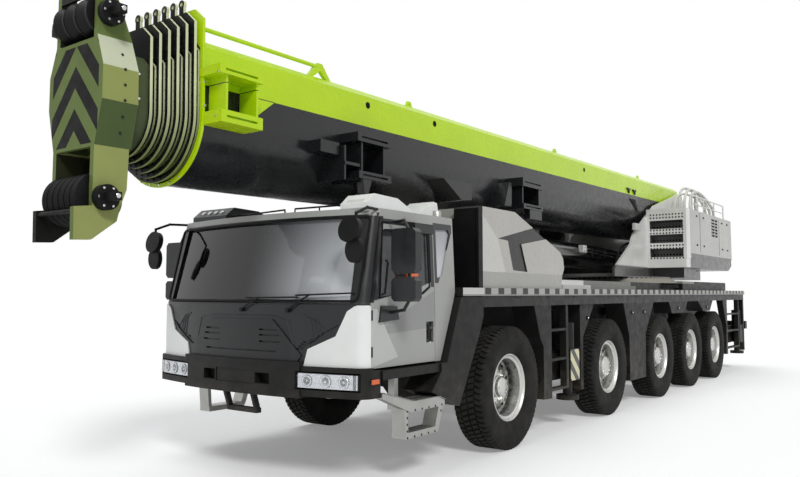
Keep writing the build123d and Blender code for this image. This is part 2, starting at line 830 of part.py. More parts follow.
DOOR_WINDOW = [
    (DOOR_FRONT + 58, CAB_BELT + 32),
    (DOOR_FRONT_TOP + 22, DOOR_TOP - 130),
    (DOOR_FRONT_TOP + 60, DOOR_TOP - 95),
    (DOOR_REAR - 55, DOOR_TOP - 62),
    (DOOR_REAR - 55, 1848),
    (-1670, 1791),
]
QUARTER_WINDOW = [(-1355, 1880), (-1355, 2372), (-1125, 2385), (-1097, 2335), (-1262, 1912)]
HANDLE_RECESS = (-1565, -1440, 1265, 1465)
CORNER_PANEL = [
    (1500, 1085), (800, 1085), (845, 1240), (1130, 1360), (1240, 1580), (1310, 1625), (1500, 1625),
]
GRILLE_PANEL = [
    (-700, 1085), (700, 1085), (775, 1180), (560, 1390), (440, 1500),
    (-440, 1500), (-560, 1390), (-775, 1180),
]
GRILLE_GROOVES = ((280, 500, 1395), (280, 520, 1345), (280, 540, 1285), (-490, 490, 1200))
LOUVRE_STARTS = ((775, 1300), (800, 1322), (825, 1344), (850, 1366))
LOUVRE_RUN = (300, 150)


def nose_relief():
    """Raised corner panels and grille panel on the nose, with grooves and bent louvres cut in."""
    shapes = [nose_prism(GRILLE_PANEL)]
    shapes += both_sides(nose_prism(CORNER_PANEL))
    raised = cab_skin(-PANEL_RELIEF, PANEL_RELIEF) & fuse(shapes)
    cuts = []
    for x0, x1, z in GRILLE_GROOVES:
        groove = nose_prism([(x0, z), (x1, z), (x1, z + GROOVE_HEIGHT), (x0, z + GROOVE_HEIGHT)])
        cuts.extend(both_sides(groove) if x0 > 0 else [groove])
    for x, z in LOUVRE_STARTS:
        slot = [
            (x - 60, z - 70), (x, z - 70), (x + LOUVRE_RUN[0], z + LOUVRE_RUN[1] - 70),
            (x + LOUVRE_RUN[0], z + LOUVRE_RUN[1] - 70 + GROOVE_HEIGHT), (x - 8, z - 70 + GROOVE_HEIGHT),
            (x - 60, z - 70 + GROOVE_HEIGHT),
        ]
        cuts.extend(both_sides(nose_prism(slot)))
    return raised, fuse(cuts) - cab_body(PANEL_RELIEF)


def windscreen_prism(inset):
    """Windscreen opening, drawn in by an inset."""
    low = CAB_BELT + WINDSCREEN_SILL + inset
    bottom_half = WINDSCREEN_HALF_WIDTH + WINDSCREEN_FLARE - inset
    top_half = WINDSCREEN_HALF_WIDTH - inset
    top = WINDSCREEN_TOP - inset
    return nose_prism([(-bottom_half, low), (bottom_half, low), (top_half, top), (-top_half, top)])


def rear_window(inset):
    """Rear window opening, drawn in by an inset."""
    half = REAR_WINDOW_HALF_WIDTH - inset
    return block(
        -half, half, CAB_REAR - 100, CAB_REAR + 20, REAR_WINDOW_BOTTOM + inset, REAR_WINDOW_TOP - inset
    )


def cabin_core(margin):
    """Space between the two side walls, wider by a margin, from below the floor to above the roof."""
    half = CAB_HALF_WIDTH - CAB_WALL + margin
    roof_half = CAB_ROOF_HALF_WIDTH - CAB_WALL + margin
    low = CAB_BOTTOM - 10
    outline = [
        (-half, low), (half, low), (half, CAB_BELT),
        (roof_half, CAB_ROOF), (-roof_half, CAB_ROOF), (-half, CAB_BELT),
    ]
    return front_prism(outline, CAB_FRONT - 2 * CAB_FRONT_BOW, CAB_REAR + 10)


def roof_pods():
    """Lamp pods over the windscreen and the wedge behind them."""
    top = CAB_ROOF + POD_HEIGHT
    pod = [
        (CAB_ROOF_FRONT - 60, CAB_ROOF - 30), (CAB_ROOF_FRONT - 60, CAB_ROOF + 50),
        (CAB_ROOF_FRONT + 50, top), (CAB_ROOF_FRONT + 400, top - 12),
        (CAB_ROOF_FRONT + 690, CAB_ROOF + 12), (CAB_ROOF_FRONT + 690, CAB_ROOF - 30),
    ]
    wedge = [
        (CAB_REAR - 364, CAB_ROOF - 30), (CAB_REAR - 364, CAB_ROOF + 20),
        (CAB_REAR - 100, CAB_ROOF + WEDGE_HEIGHT), (CAB_REAR - 30, CAB_ROOF + WEDGE_HEIGHT - 10),
        (CAB_REAR - 5, CAB_ROOF + 40), (CAB_REAR - 5, CAB_ROOF - 30),
    ]
    return [side_prism(pod, 980, 1300), side_prism(pod, -1150, -610), side_prism(wedge, 900, 1200)]


def mirror_head(z0, z1, chamfer):
    """Mirror housing with chamfered corners."""
    x0 = MIRROR_INNER_X
    x1 = MIRROR_INNER_X + MIRROR_WIDTH
    outline = [
        (x0 + chamfer, z0), (x1 - chamfer, z0), (x1, z0 + chamfer), (x1, z1 - chamfer),
        (x1 - chamfer, z1), (x0 + chamfer, z1), (x0, z1 - chamfer), (x0, z0 + chamfer),
    ]
    return front_prism(outline, MIRROR_STATION, MIRROR_STATION + MIRROR_DEPTH)


def door_mirrors():
    """Main and wide-angle mirror heads on their bent arm, and the kerb mirror over the window."""
    back = MIRROR_STATION + MIRROR_DEPTH
    middle = MIRROR_INNER_X + MIRROR_WIDTH / 2
    skin = CAB_HALF_WIDTH - CAB_WALL / 2
    arm = bent_rod(
        [(skin, back, 1560), (middle - 60, back, 1590), (middle, back, 1680), (middle, back, 2300),
         (middle - 60, back, 2395), (skin - 20, back + 40, 2385)],
        MIRROR_ARM_RADIUS,
    )
    lower_mount = side_prism([(-2320, 1480), (-2030, 1500), (-2060, 1620), (-2290, 1630)], skin, skin + 45)
    kerb = front_prism([(1450, 2290), (1550, 2300), (1545, 2390), (1460, 2395)], -1950, -1650)
    kerb_arm = rod((skin - 20, -1800, 2385), (1480, -1800, 2375), MIRROR_ARM_RADIUS)
    return fuse([mirror_head(1913, 2315, 35), mirror_head(1666, 1878, 30), arm, lower_mount, kerb, kerb_arm])


def front_mirror():
    """Round and oval mirrors ahead of the windscreen's upper corner, on one bent arm."""
    arm = bent_rod(
        [(1335, -2230, 2500), (1400, -2470, 2495), (1415, -2640, 2430), (1405, -2640, 2150)],
        MIRROR_ARM_RADIUS - 2,
    )
    disc = rod((1380, -2705, 2290), (1380, -2650, 2280), ROUND_MIRROR_RADIUS)
    oval_plane = Plane(origin=(1405, behind(-2620), 2110), x_dir=(1, 0, 0), z_dir=(0, -1, 0))
    oval = extrude(oval_plane * Ellipse(*OVAL_MIRROR_HALF), amount=50)
    return fuse([arm, disc, oval])


def hinge_barrels():
    """Two barrels on the door's hinge axis."""
    x = CAB_HALF_WIDTH + HINGE_OFFSET
    station = DOOR_FRONT + DOOR_GAP + HINGE_SETBACK
    return [rod((x, station, z), (x, station, z + HINGE_LENGTH), HINGE_RADIUS) for z in (1180, 1500)]


def door(side):
    """Door skin with its window opening, handle recess, hinge barrels and mirrors, on +X or -X."""
    near = CAB_HALF_WIDTH / 2
    far = CAB_HALF_WIDTH + 50
    first, last, low, high = HANDLE_RECESS
    shape = (cab_body(0) & door_prism(DOOR_GAP, near, far)) - cabin_core(DOOR_GAP)
    shape -= window_prism(DOOR_WINDOW, 0, near, far)
    shape -= block(CAB_HALF_WIDTH - HANDLE_RECESS_DEPTH, far, first, last, low, high)
    handle = block(CAB_HALF_WIDTH - 16, CAB_HALF_WIDTH - 3, first, last, high - 75, high - 45)
    return on_side(fuse([shape, handle, door_mirrors()] + hinge_barrels()), side)


def cab():
    """Cab shell with its openings, and every pane that fits them."""
    near = CAB_HALF_WIDTH / 2
    far = CAB_HALF_WIDTH + 50
    core = cabin_core(0)
    raised, cuts = nose_relief()
    shell = fuse([cab_skin(0, CAB_WALL), raised]) - cuts
    shell = shell - windscreen_prism(0) - rear_window(0)
    outer_form = cab_body(CAB_WALL / 2)
    shell = fuse([shell] + [pod - outer_form for pod in roof_pods()])
    depth = CAB_WALL / 2
    pane = cab_skin(depth - GLASS_THICKNESS / 2, depth + GLASS_THICKNESS / 2)
    glass = [pane & windscreen_prism(GLASS_GAP), pane & rear_window(GLASS_GAP)]
    for side in (1, -1):
        x0, x1 = (near, far) if side > 0 else (-far, -near)
        shell -= door_prism(0, x0, x1) - core
        shell -= window_prism(QUARTER_WINDOW, 0, x0, x1)
        glass.append(pane & window_prism(QUARTER_WINDOW, GLASS_GAP, x0, x1))
        label = "left" if side > 0 else "right"
        nodes[f"door_glass_{label}"] = pane & window_prism(DOOR_WINDOW, GLASS_GAP, x0, x1)
    return shell, group(glass)


nodes["cab_shell"], nodes["cab_glass"] = cab()
nodes["door_left"] = door(1)
nodes["door_right"] = door(-1)
nodes["front_mirrors"] = group(both_sides(front_mirror() - cab_body(0)))


def seat(x):
    """Seat with its pedestal, cushion and back."""
    floor = CAB_BOTTOM + CAB_WALL
    low = floor + 370
    high = floor + 1010
    back = side_prism([(-1440, low), (-1330, low), (-1230, high), (-1320, high)], x - 230, x + 230)
    return fuse(
        [
            block(x - 130, x + 130, -1740, -1410, floor, floor + 250),
            block(x - 240, x + 240, -1830, -1330, floor + 250, low),
            back,
        ]
    )


def dashboard():
    """Dashboard with the steering column and wheel on the driver's side."""
    floor = CAB_BOTTOM + CAB_WALL
    panel = side_prism(
        [(-2420, floor), (-2280, floor), (-2100, 1560), (-2130, 1655), (-2420, 1655)], -1200, 1200
    )
    driver_x = -650
    column = rod((driver_x, -2180, 1560), (driver_x, -1990, 1730), 35)
    axis = Vector(0, 190, 170).normalized()
    plane = Plane(origin=Vector(driver_x, behind(-1990), 1730), z_dir=axis)
    rim = extrude(plane * (Circle(235) - Circle(200)), amount=30)
    spokes = extrude(plane * (Circle(60) + Rectangle(420, 45)), amount=22)
    return fuse([panel, column, rim, spokes])


nodes["cab_interior"] = group([seat(-650), seat(650), dashboard()])


# ---------------------------------------------------------------- bumpers and steps

def bumper_ring(outset, inset, z0, z1, end):
    """Band that follows the cab's plan from an outset to an inset, ahead of a station."""
    band = extrude(Pos(0, 0, z0) * (belt_plan(-outset) - belt_plan(inset)), amount=z1 - z0)
    ahead = CAB_FRONT - 2 * CAB_FRONT_BOW
    wide = 2 * CAB_HALF_WIDTH
    return band & block(-wide, wide, ahead, end, z0, z1)


def bumper_bar(outset, z0, z1):
    """Bumper section, thick below the cab and a thin lip ahead of its skin above."""
    under = CAB_BOTTOM - CLEARANCE
    return fuse(
        [
            bumper_ring(outset, BUMPER_THICKNESS - outset, z0, under, BUMPER_END),
            bumper_ring(outset, -3 - PANEL_RELIEF, under, z1, DOOR_FRONT),
        ]
    )


def front_step():
    """U-shaped step hung below the middle of the bumper."""
    front = CAB_FRONT - CAB_FRONT_BOW
    leg = side_prism(
        [(front - 20, BUMPER_BOTTOM), (front + 40, BUMPER_BOTTOM), (front + 100, 640), (front + 50, 630)],
        FRONT_STEP_X - FRONT_STEP_BAR / 2,
        FRONT_STEP_X + FRONT_STEP_BAR / 2,
    )
    bar = block(
        -FRONT_STEP_X - FRONT_STEP_BAR / 2, FRONT_STEP_X + FRONT_STEP_BAR / 2,
        front + 45, front + 105, 615, 660,
    )
    return fuse([bar] + both_sides(leg))


def front_bumper():
    """Bowed bumper with its raised middle, tow openings, brackets and step, and two lamp blocks."""
    middle = block(
        -BUMPER_CENTRE_HALF, BUMPER_CENTRE_HALF, CAB_FRONT - 2 * CAB_FRONT_BOW, BUMPER_END,
        0, CAB_ROOF,
    )
    centre = bumper_bar(
        BUMPER_CENTRE_OUTSET, BUMPER_BOTTOM - BUMPER_CENTRE_DROP, BUMPER_TOP + BUMPER_CENTRE_RISE
    )
    bar = fuse([bumper_bar(BUMPER_OUTSET, BUMPER_BOTTOM, BUMPER_TOP), centre & middle])
    front = CAB_FRONT - CAB_FRONT_BOW
    arm = block(300, 440, front + 60, NOSE_FRONT, 860, 1030)
    bar = fuse([bar, front_step()] + both_sides(arm))
    hole = block(
        TOW_HOLE_X - TOW_HOLE_WIDTH / 2, TOW_HOLE_X + TOW_HOLE_WIDTH / 2,
        front - 2 * BUMPER_CENTRE_OUTSET, front + 45,
        TOW_HOLE_BOTTOM, TOW_HOLE_BOTTOM + TOW_HOLE_HEIGHT,
    )
    for cut in both_sides(hole):
        bar -= cut
    face = front - BUMPER_CENTRE_OUTSET
    bar -= block(-265, 265, face - BUMPER_CENTRE_OUTSET, face + 14, 900, 1030)
    margin = 2 * CLEARANCE
    lamp_hole = bumper_ring(2 * BUMPER_OUTSET, LAMP_DEPTH, LAMP_BOTTOM, LAMP_TOP, BUMPER_END)
    low = LAMP_BOTTOM + margin
    lamp = bumper_ring(BUMPER_OUTSET - CLEARANCE, LAMP_DEPTH, low, LAMP_TOP - margin, BUMPER_END)
    ahead = front - 4 * BUMPER_OUTSET
    window = block(LAMP_INNER_X, LAMP_OUTER_X, ahead, BUMPER_END, 0, CAB_ROOF)
    inner = block(LAMP_INNER_X + margin, LAMP_OUTER_X - margin, ahead, BUMPER_END, 0, CAB_ROOF)
    for cut in both_sides(lamp_hole & window):
        bar -= cut
    return [bar] + both_sides(lamp & inner)


def rear_bumper():
    """Under-run beam behind the frame, on two arms."""
    front = BUMPER_REAR - BUMPER_BEAM
    top = REAR_BUMPER_BOTTOM + BUMPER_BEAM
    beam = block(-PANEL_OUTER_X, PANEL_OUTER_X, front, BUMPER_REAR, REAR_BUMPER_BOTTOM, top)
    x = REAR_BUMPER_ARM_X
    arm = block(x, x + REAR_BUMPER_ARM, FRAME_REAR, front, REAR_BUMPER_BOTTOM + 70, top)
    return fuse([beam] + both_sides(arm))


nodes["bumpers"] = group(front_bumper() + [rear_bumper()])


def cab_steps():
    """Alloy bar, tread and stirrup below each door."""
    tread = block(STEP_INNER_X, STEP_OUTER_X, -1905, -1336, STEP_TREAD_BOTTOM, STEP_TREAD_TOP)
    bar = side_prism(
        [
            (BUMPER_END, 815), (BUMPER_END, 868), (-1860, STEP_TREAD_TOP),
            (-1800, STEP_TREAD_TOP), (-1800, STEP_TREAD_BOTTOM), (-1905, STEP_TREAD_BOTTOM),
        ],
        STEP_OUTER_X - 80,
        STEP_OUTER_X,
    )
    front_leg = side_prism([(-1990, 720), (-1945, 700), (-1925, 430), (-1965, 430)], 1300, STEP_OUTER_X - 10)
    rear_leg = side_prism([(-1424, 660), (-1344, 660), (-1430, 430), (-1500, 430)], 1300, STEP_OUTER_X - 10)
    low = block(1290, STEP_OUTER_X - 7, -1965, -1450, STIRRUP_BOTTOM, STIRRUP_TOP)
    hanger = block(STEP_INNER_X, STEP_INNER_X + 70, -1890, -1830, STEP_TREAD_TOP - 20, SILL_BOTTOM)
    return fuse([tread, bar, front_leg, rear_leg, low, hanger]) - front_guard()


nodes["cab_steps"] = group(both_sides(cab_steps()))


# ---------------------------------------------------------------- engine housing

HOUSING_SLOPE = [(190, HOUSING_TOP), (1410, 2270), (1500, 2190), (1530, 2060), (1466, 1965), (1430, DECK_TOP)]
HOUSING_RIBBON = [
    (-220, 2350), (650, 2525), (960, 2470), (1000, 2410), (340, 2314), (490, 1990), (130, 2003), (10, 2338),
]


def engine_housing():
    """Open-bottomed cover over the engine, sloping down to the rear, with a recess in each side."""
    wall = HOUSING_WALL
    half = HOUSING_HALF_WIDTH
    outer = [(HOUSING_FRONT, DECK_TOP), (HOUSING_FRONT, HOUSING_TOP)] + HOUSING_SLOPE
    inner = [(HOUSING_FRONT + wall, DECK_TOP - 10), (HOUSING_FRONT + wall, HOUSING_TOP - wall)]
    inner += [(s - wall, z - wall) for s, z in HOUSING_SLOPE]
    cover = side_prism(outer, -half, half) - side_prism(inner, wall - half, half - wall)
    for recess in both_sides(side_prism(HOUSING_RIBBON, half - HOUSING_RECESS, half + 1)):
        cover -= recess
    return cover


def front_cover():
    """Dark cover on the housing's front: a tall bevelled panel on each side and a lower bulkhead."""
    front = HOUSING_FRONT - COVER_DEPTH
    panel = side_prism(
        [
            (front, DECK_TOP), (front, HOUSING_TOP - 20), (front + 20, HOUSING_TOP),
            (HOUSING_FRONT, HOUSING_TOP), (HOUSING_FRONT, DECK_TOP),
        ],
        HOUSING_HALF_WIDTH - COVER_WIDTH,
        HOUSING_HALF_WIDTH,
    )
    edge = HOUSING_HALF_WIDTH - 30
    groove = block(edge - 12, edge, front - 1, front + 12, DECK_TOP + 20, HOUSING_TOP - 40)
    middle = HOUSING_HALF_WIDTH - COVER_WIDTH
    bulkhead = block(-middle, middle, front + 10, HOUSING_FRONT, DECK_TOP, BULKHEAD_TOP)
    return fuse(both_sides(panel - groove) + [bulkhead])


nodes["engine_housing"] = engine_housing()
nodes["intake_tower"] = front_cover()
nodes["engine"] = block(
    -ENGINE_WIDTH / 2, ENGINE_WIDTH / 2, ENGINE_FRONT, ENGINE_FRONT + ENGINE_LENGTH,
    DECK_TOP, DECK_TOP + ENGINE_HEIGHT,
)


# ---------------------------------------------------------------- superstructure

APRON_TOP = DECK_TOP + PLINTH_HEIGHT + APRON_HEIGHT
CHEEK = [
    (5444, TURNTABLE_BOTTOM), (5444, 2182), (6323, 2661), (6475, 2860), (6770, 3030), (7720, 3518),
    (9616, 3985), (9690, 3850), (10250, 3500), (TURNTABLE_REAR, 2700), (TURNTABLE_REAR, TURNTABLE_BOTTOM),
]


def cylinder_foot():
    """One lug of the derricking cylinder's foot, on +X."""
    x = EYE_WIDTH / 2 + CLEARANCE
    base = CYLINDER_BASE_STATION
    eye = cross_rod(base, CYLINDER_BASE_Z, CYLINDER_PIN_RADIUS + EYE_WALL, x, x + LUG_PLATE)
    foot = block(x, x + LUG_PLATE, base - 150, base + 300, TURNTABLE_BOTTOM, CYLINDER_BASE_Z)
    return fuse([eye, foot])


def turntable():
    """Slewing platform with its two boom cheeks, cylinder lugs and cross plates."""
    low = TURNTABLE_BOTTOM
    floor_top = low + TURNTABLE_FLOOR
    face = APRON_TOP + CLEARANCE
    spigot_low = face - APRON_HEIGHT
    centre = (0, SLEW_STATION)
    flange = rod((*centre, face), (*centre, low), SLEW_RING_RADIUS)
    spigot = rod((*centre, spigot_low), (*centre, low), SLEW_BORE_RADIUS - SLEW_SPIGOT_GAP)
    cheek = side_prism(CHEEK, SIDE_PLATE_X, SIDE_PLATE_X + SIDE_PLATE_THICKNESS)
    pin_hole = cross_rod(BOOM_PIVOT_STATION, BOOM_PIVOT_Z, BOOM_PIN_RADIUS + PIN_PLAY, 0, 2 * SIDE_PLATE_X)
    half = SIDE_PLATE_X + SIDE_PLATE_THICKNESS
    inner = OPERATOR_CAB_INNER_X + 60
    pin_half = EYE_WIDTH / 2 + CLEARANCE + LUG_PLATE
    parts = [flange, spigot]
    parts.extend(both_sides(cheek - pin_hole))
    parts.append(block(-half, half, TURNTABLE_FRONT, TURNTABLE_REAR, low, floor_top))
    parts.append(block(-HOOD_OUTER_X, -half, OPERATOR_CAB_FRONT, OPERATOR_CAB_REAR, low, floor_top))
    parts.append(block(-inner, -SIDE_PLATE_X, CAB_OUTRIGGER_FRONT, OPERATOR_CAB_REAR, low, floor_top))
    parts.append(
        block(-SIDE_PLATE_X, SIDE_PLATE_X, TURNTABLE_REAR - TAIL_PLATE, TURNTABLE_REAR, low, TAIL_PLATE_TOP)
    )
    hanger = block(half, HOOD_OUTER_X - 160, HOOD_FRONT + 350, HOOD_HANGER_REAR, low, HOOD_BOTTOM)
    parts.extend(both_sides(hanger))
    parts.extend(both_sides(cylinder_foot()))
    parts.append(cross_rod(CYLINDER_BASE_STATION, CYLINDER_BASE_Z, CYLINDER_PIN_RADIUS, -pin_half, pin_half))
    return fuse(parts)


def slew_apron():
    """Conical apron that rises from the plinth round the slewing ring."""
    base = DECK_TOP + PLINTH_HEIGHT
    outline = Polyline(
        (SLEW_BORE_RADIUS, base),
        (APRON_RADIUS, base),
        (SLEW_RING_RADIUS, base + APRON_HEIGHT),
        (SLEW_BORE_RADIUS, base + APRON_HEIGHT),
        close=True,
    )
    cone = revolve(make_face(outline).rotate(Axis.X, 90), Axis.Z)
    return Pos(0, behind(SLEW_STATION), 0) * cone


nodes["deck"] = fuse([deck(), slew_apron()])
nodes["turntable"] = turntable()


def hood_form():
    """Side hood of the tail with its set-back lower band and its louvres."""
    inner = SIDE_PLATE_X + SIDE_PLATE_THICKNESS
    face = HOOD_OUTER_X
    body = side_prism(
        [
            (HOOD_FRONT, HOOD_BOTTOM), (HOOD_FRONT, HOOD_TOP), (HOOD_REAR, HOOD_TOP),
            (HOOD_REAR, HOOD_BOTTOM + 120), (HOOD_REAR - 300, HOOD_BOTTOM),
        ],
        inner,
        face,
    )
    body -= side_prism(
        [
            (HOOD_FRONT - 1, HOOD_BOTTOM - 1), (HOOD_FRONT - 1, HOOD_BOTTOM + 170),
            (HOOD_REAR - 830, HOOD_BOTTOM + 246), (HOOD_REAR + 1, HOOD_BOTTOM + 260),
            (HOOD_REAR + 1, HOOD_BOTTOM - 1),
        ],
        face - HOOD_BAND,
        face + 1,
    )
    for row in range(LOUVRE_COUNT):
        z = LOUVRE_BOTTOM + row * LOUVRE_PITCH
        for column in range(2):
            first = LOUVRE_FRONT + column * (LOUVRE_LENGTH + LOUVRE_GAP)
            body -= block(face - LOUVRE_DEPTH, face + 1, first, first + LOUVRE_LENGTH, z, z + LOUVRE_HEIGHT)
    return body


def stepped(body):
    """The hood with steps let into its front."""
    inner = SIDE_PLATE_X + SIDE_PLATE_THICKNESS
    for index in range(STEP_COUNT):
        top = STEP_FIRST_TOP - index * STEP_PITCH
        body -= block(
            inner + STEP_MARGIN, HOOD_OUTER_X - STEP_MARGIN, HOOD_FRONT - 1, HOOD_FRONT + STEP_DEPTH,
            top - STEP_OPENING, top,
        )
    return body


nodes["tail_hoods"] = group([stepped(hood_form()), on_side(hood_form(), -1)])


def operator_outline(inset):
    """Side outline of the operator's cab, drawn in by an inset."""
    front = OPERATOR_CAB_FRONT
    rear = OPERATOR_CAB_REAR - inset
    low = TURNTABLE_BOTTOM + TURNTABLE_FLOOR
    top = OPERATOR_CAB_TOP - inset
    return [
        (front + inset, low + inset),
        (rear, low + inset),
        (rear, top),
        (front + OPERATOR_CAB_RAKE + inset * 0.6, top),
        (front + inset, low + OPERATOR_CAB_BELT),
    ]


def operator_windows(inset):
    """Front, inner side and roof openings of the operator's cab, drawn in by an inset."""
    x0 = -HOOD_OUTER_X
    x1 = -OPERATOR_CAB_INNER_X
    front = OPERATOR_CAB_FRONT
    rear = OPERATOR_CAB_REAR
    low = TURNTABLE_BOTTOM + TURNTABLE_FLOOR
    top = OPERATOR_CAB_TOP
    wall = OPERATOR_WALL
    return (
        block(
            x0 + 70 + inset, x1 - 70 - inset, front - 10, front + OPERATOR_CAB_RAKE + 20,
            low + 120 + inset, top - 100 - inset,
        ),
        block(
            x1 - wall - 5, x1 + 10, front + OPERATOR_DOOR_FRONT + inset, rear - 200 - inset,
            low + 500 + inset, top - 110 - inset,
        ),
        block(
            x0 + 100 + inset, x1 - 100 - inset, front + 420 + inset, rear - 300 - inset,
            top - wall - 5, top + 5,
        ),
    )


def operator_shell(outer, inner):
    """Layer of the operator's cab between two depths below its outer form."""
    x0 = -HOOD_OUTER_X
    x1 = -OPERATOR_CAB_INNER_X
    return side_prism(operator_outline(outer), x0 + outer, x1 - outer) - side_prism(
        operator_outline(inner), x0 + inner, x1 - inner
    )


def operator_cab():
    """Hollow operator's cab at the right front of the turntable, and its fixed panes."""
    x0 = -HOOD_OUTER_X
    low = TURNTABLE_BOTTOM + TURNTABLE_FLOOR
    first = OPERATOR_CAB_FRONT + OPERATOR_DOOR_FRONT
    shell = operator_shell(0, OPERATOR_WALL)
    for cut in operator_windows(0):
        shell -= cut
    shell -= block(
        x0 - 10, x0 + OPERATOR_WALL + 5, first, first + OPERATOR_DOOR_LENGTH, low + 60, OPERATOR_CAB_TOP - 110
    )
    depth = OPERATOR_WALL / 2
    pane = operator_shell(depth - GLASS_THICKNESS / 2, depth + GLASS_THICKNESS / 2)
    return shell, group([pane & window for window in operator_windows(GLASS_GAP)])


def operator_door():
    """Sliding door outside the operator's cab: a frame and its pane."""
    outer = -HOOD_OUTER_X - CLEARANCE
    inner = outer - OPERATOR_DOOR_THICKNESS
    middle = (outer + inner) / 2
    low = TURNTABLE_BOTTOM + TURNTABLE_FLOOR
    first = OPERATOR_CAB_FRONT + OPERATOR_DOOR_FRONT - OPERATOR_DOOR_LAP
    last = first + OPERATOR_DOOR_LENGTH + 2 * OPERATOR_DOOR_LAP
    frame = block(inner, outer, first, last, low + 40, OPERATOR_CAB_TOP - 90)
    frame -= block(inner - 10, outer + 4, first + 60, last - 60, low + 150, OPERATOR_CAB_TOP - 150)
    half = GLASS_THICKNESS / 2
    edge = 60 + GLASS_GAP
    sill = low + 150 + GLASS_GAP
    pane = block(
        middle - half, middle + half, first + edge, last - edge, sill, OPERATOR_CAB_TOP - 150 - GLASS_GAP
    )
    return group([frame, pane])


def winch():
    """Hoist winch across the tail: drum and two flanges."""
    drum = cross_rod(WINCH_STATION, WINCH_Z, WINCH_DRUM_RADIUS, -SIDE_PLATE_X, SIDE_PLATE_X)
    x = SIDE_PLATE_X - 40
    flange = cross_rod(WINCH_STATION, WINCH_Z, WINCH_RADIUS, x - WINCH_FLANGE, x)
    return fuse([drum] + both_sides(flange))


nodes["operator_cab"], nodes["operator_glass"] = operator_cab()
nodes["operator_door"] = operator_door()
nodes["winch"] = winch()


# ---------------------------------------------------------------- boom

boom_place = Location((0, behind(BOOM_PIVOT_STATION), BOOM_PIVOT_Z), (BOOM_TILT, 0, 0))
HEAD_PLANE = BOOM_FRONT_REACH + (SECTION_COUNT - 1) * COLLAR_PITCH + COLLAR_LENGTH + NECK


def across_boom(face, near, far):
    """Extrude a face drawn in X and up between two distances ahead of the pivot."""
    plane = Plane(origin=(0, -near, 0), x_dir=(1, 0, 0), z_dir=(0, -1, 0))
    return extrude(plane * face, amount=far - near)


def along_boom(outline, x0, x1):
    """Extrude an (ahead, up) outline across the boom."""
    face = make_face(Polyline(*[(-ahead, up) for ahead, up in outline], close=True))
    return extrude(Plane.YZ.offset(x0) * face, amount=x1 - x0)


def boom_pin(ahead, up, radius, x0, x1):
    """Round bar across the boom."""
    return extrude(Pos(x0, -ahead, up) * Rot(0, 90, 0) * Circle(radius), amount=x1 - x0)


def section_size(index):
    """Half width, top and bottom of one telescope section's shell."""
    inset = index * SECTION_STEP
    return BOOM_HALF_WIDTH - inset, BOOM_ABOVE_PIVOT - inset, -BOOM_BELOW_PIVOT + inset


def boom_outline(half, top, bottom):
    """Box section with a half-round bottom and chamfered top corners."""
    lines = Polyline(
        (half, bottom + half), (half, top - BOOM_CORNER), (half - BOOM_CORNER, top),
        (-half + BOOM_CORNER, top), (-half, top - BOOM_CORNER), (-half, bottom + half),
    )
    arc = ThreePointArc((-half, bottom + half), (0, bottom), (half, bottom + half))
    return make_face(lines + arc)


def collar_outline(index):
    """Plate at a section's front end: round below, with shoulders that stand above the shell."""
    half, top, bottom = section_size(index)
    outer = half + COLLAR_RISE
    low = bottom - COLLAR_RISE + outer
    flat = half - COLLAR_CHAMFER
    lines = Polyline(
        (outer, low), (outer, top + COLLAR_SHOULDER), (flat, top + COLLAR_TOP),
        (-flat, top + COLLAR_TOP), (-outer, top + COLLAR_SHOULDER), (-outer, low),
    )
    arc = ThreePointArc((-outer, low), (0, bottom - COLLAR_RISE), (outer, low))
    return make_face(lines + arc)


def ring_lug(index, front):
    """Lifting ring on top of a collar's left shoulder."""
    half, top, _ = section_size(index)
    x = half - COLLAR_CHAMFER - LUG_RADIUS - 30
    base = top + COLLAR_TOP
    face = Pos(x, base + LUG_RISE) * Circle(LUG_RADIUS)
    face += Pos(x, base + LUG_RISE / 2 - 5) * Rectangle(LUG_RADIUS * 1.6, LUG_RISE + 10)
    face -= Pos(x, base + LUG_RISE) * Circle(LUG_HOLE_RADIUS)
    return across_boom(face, front, front + COLLAR_LENGTH)


def section_hollow(index, near, far):
    """Space inside a section's shell."""
    half, top, bottom = section_size(index)
    wall = SECTION_WALL
    return across_boom(boom_outline(half - wall, top - wall, bottom + wall), near, far)


def boom_section(index):
    """One telescope section: hollow shell with a collar plate at its front end."""
    front = BOOM_FRONT_REACH + index * COLLAR_PITCH
    rear = -BOOM_TAIL if index == 0 else front - SECTION_LENGTH
    end = HEAD_PLANE if index == SECTION_COUNT - 1 else front + COLLAR_LENGTH
    parts = [
        across_boom(boom_outline(*section_size(index)), rear, end),
        across_boom(collar_outline(index), front, front + COLLAR_LENGTH),
    ]
    if index:
        parts.append(ring_lug(index, front))
    return fuse(parts) - section_hollow(index, rear - 10, end + 10)


def rod_eye_lugs():
    """Two lugs under the base section that take the cylinder rod's eye."""
    x = EYE_WIDTH / 2 + CLEARANCE
    top = BOOM_PIVOT_Z - 600
    lug = side_prism(
        [
            (ROD_EYE_STATION - 170, ROD_EYE_Z - 40),
            (ROD_EYE_STATION + 170, ROD_EYE_Z - 40),
            (ROD_EYE_STATION + 200, top),
            (ROD_EYE_STATION - 400, top),
        ],
        x,
        x + LUG_PLATE,
    )
    end = cross_rod(ROD_EYE_STATION, ROD_EYE_Z, CYLINDER_PIN_RADIUS + EYE_WALL, x, x + LUG_PLATE)
    cap = cross_rod(ROD_EYE_STATION, ROD_EYE_Z, CYLINDER_PIN_RADIUS, x + LUG_PLATE, x + LUG_PLATE + PIN_CAP)
    return both_sides(fuse([lug, end, cap]))


def tray(x0, x1, s0, s1, z0, z1):
    """Channel on the boom's side with a slot along its outer face."""
    middle = (z0 + z1) / 2
    slot = block(x1 - 40, x1 + 1, s0 + 60, s1 - 60, middle - 10, middle + 10)
    return block(x0, x1, s0, s1, z0, z1) - slot


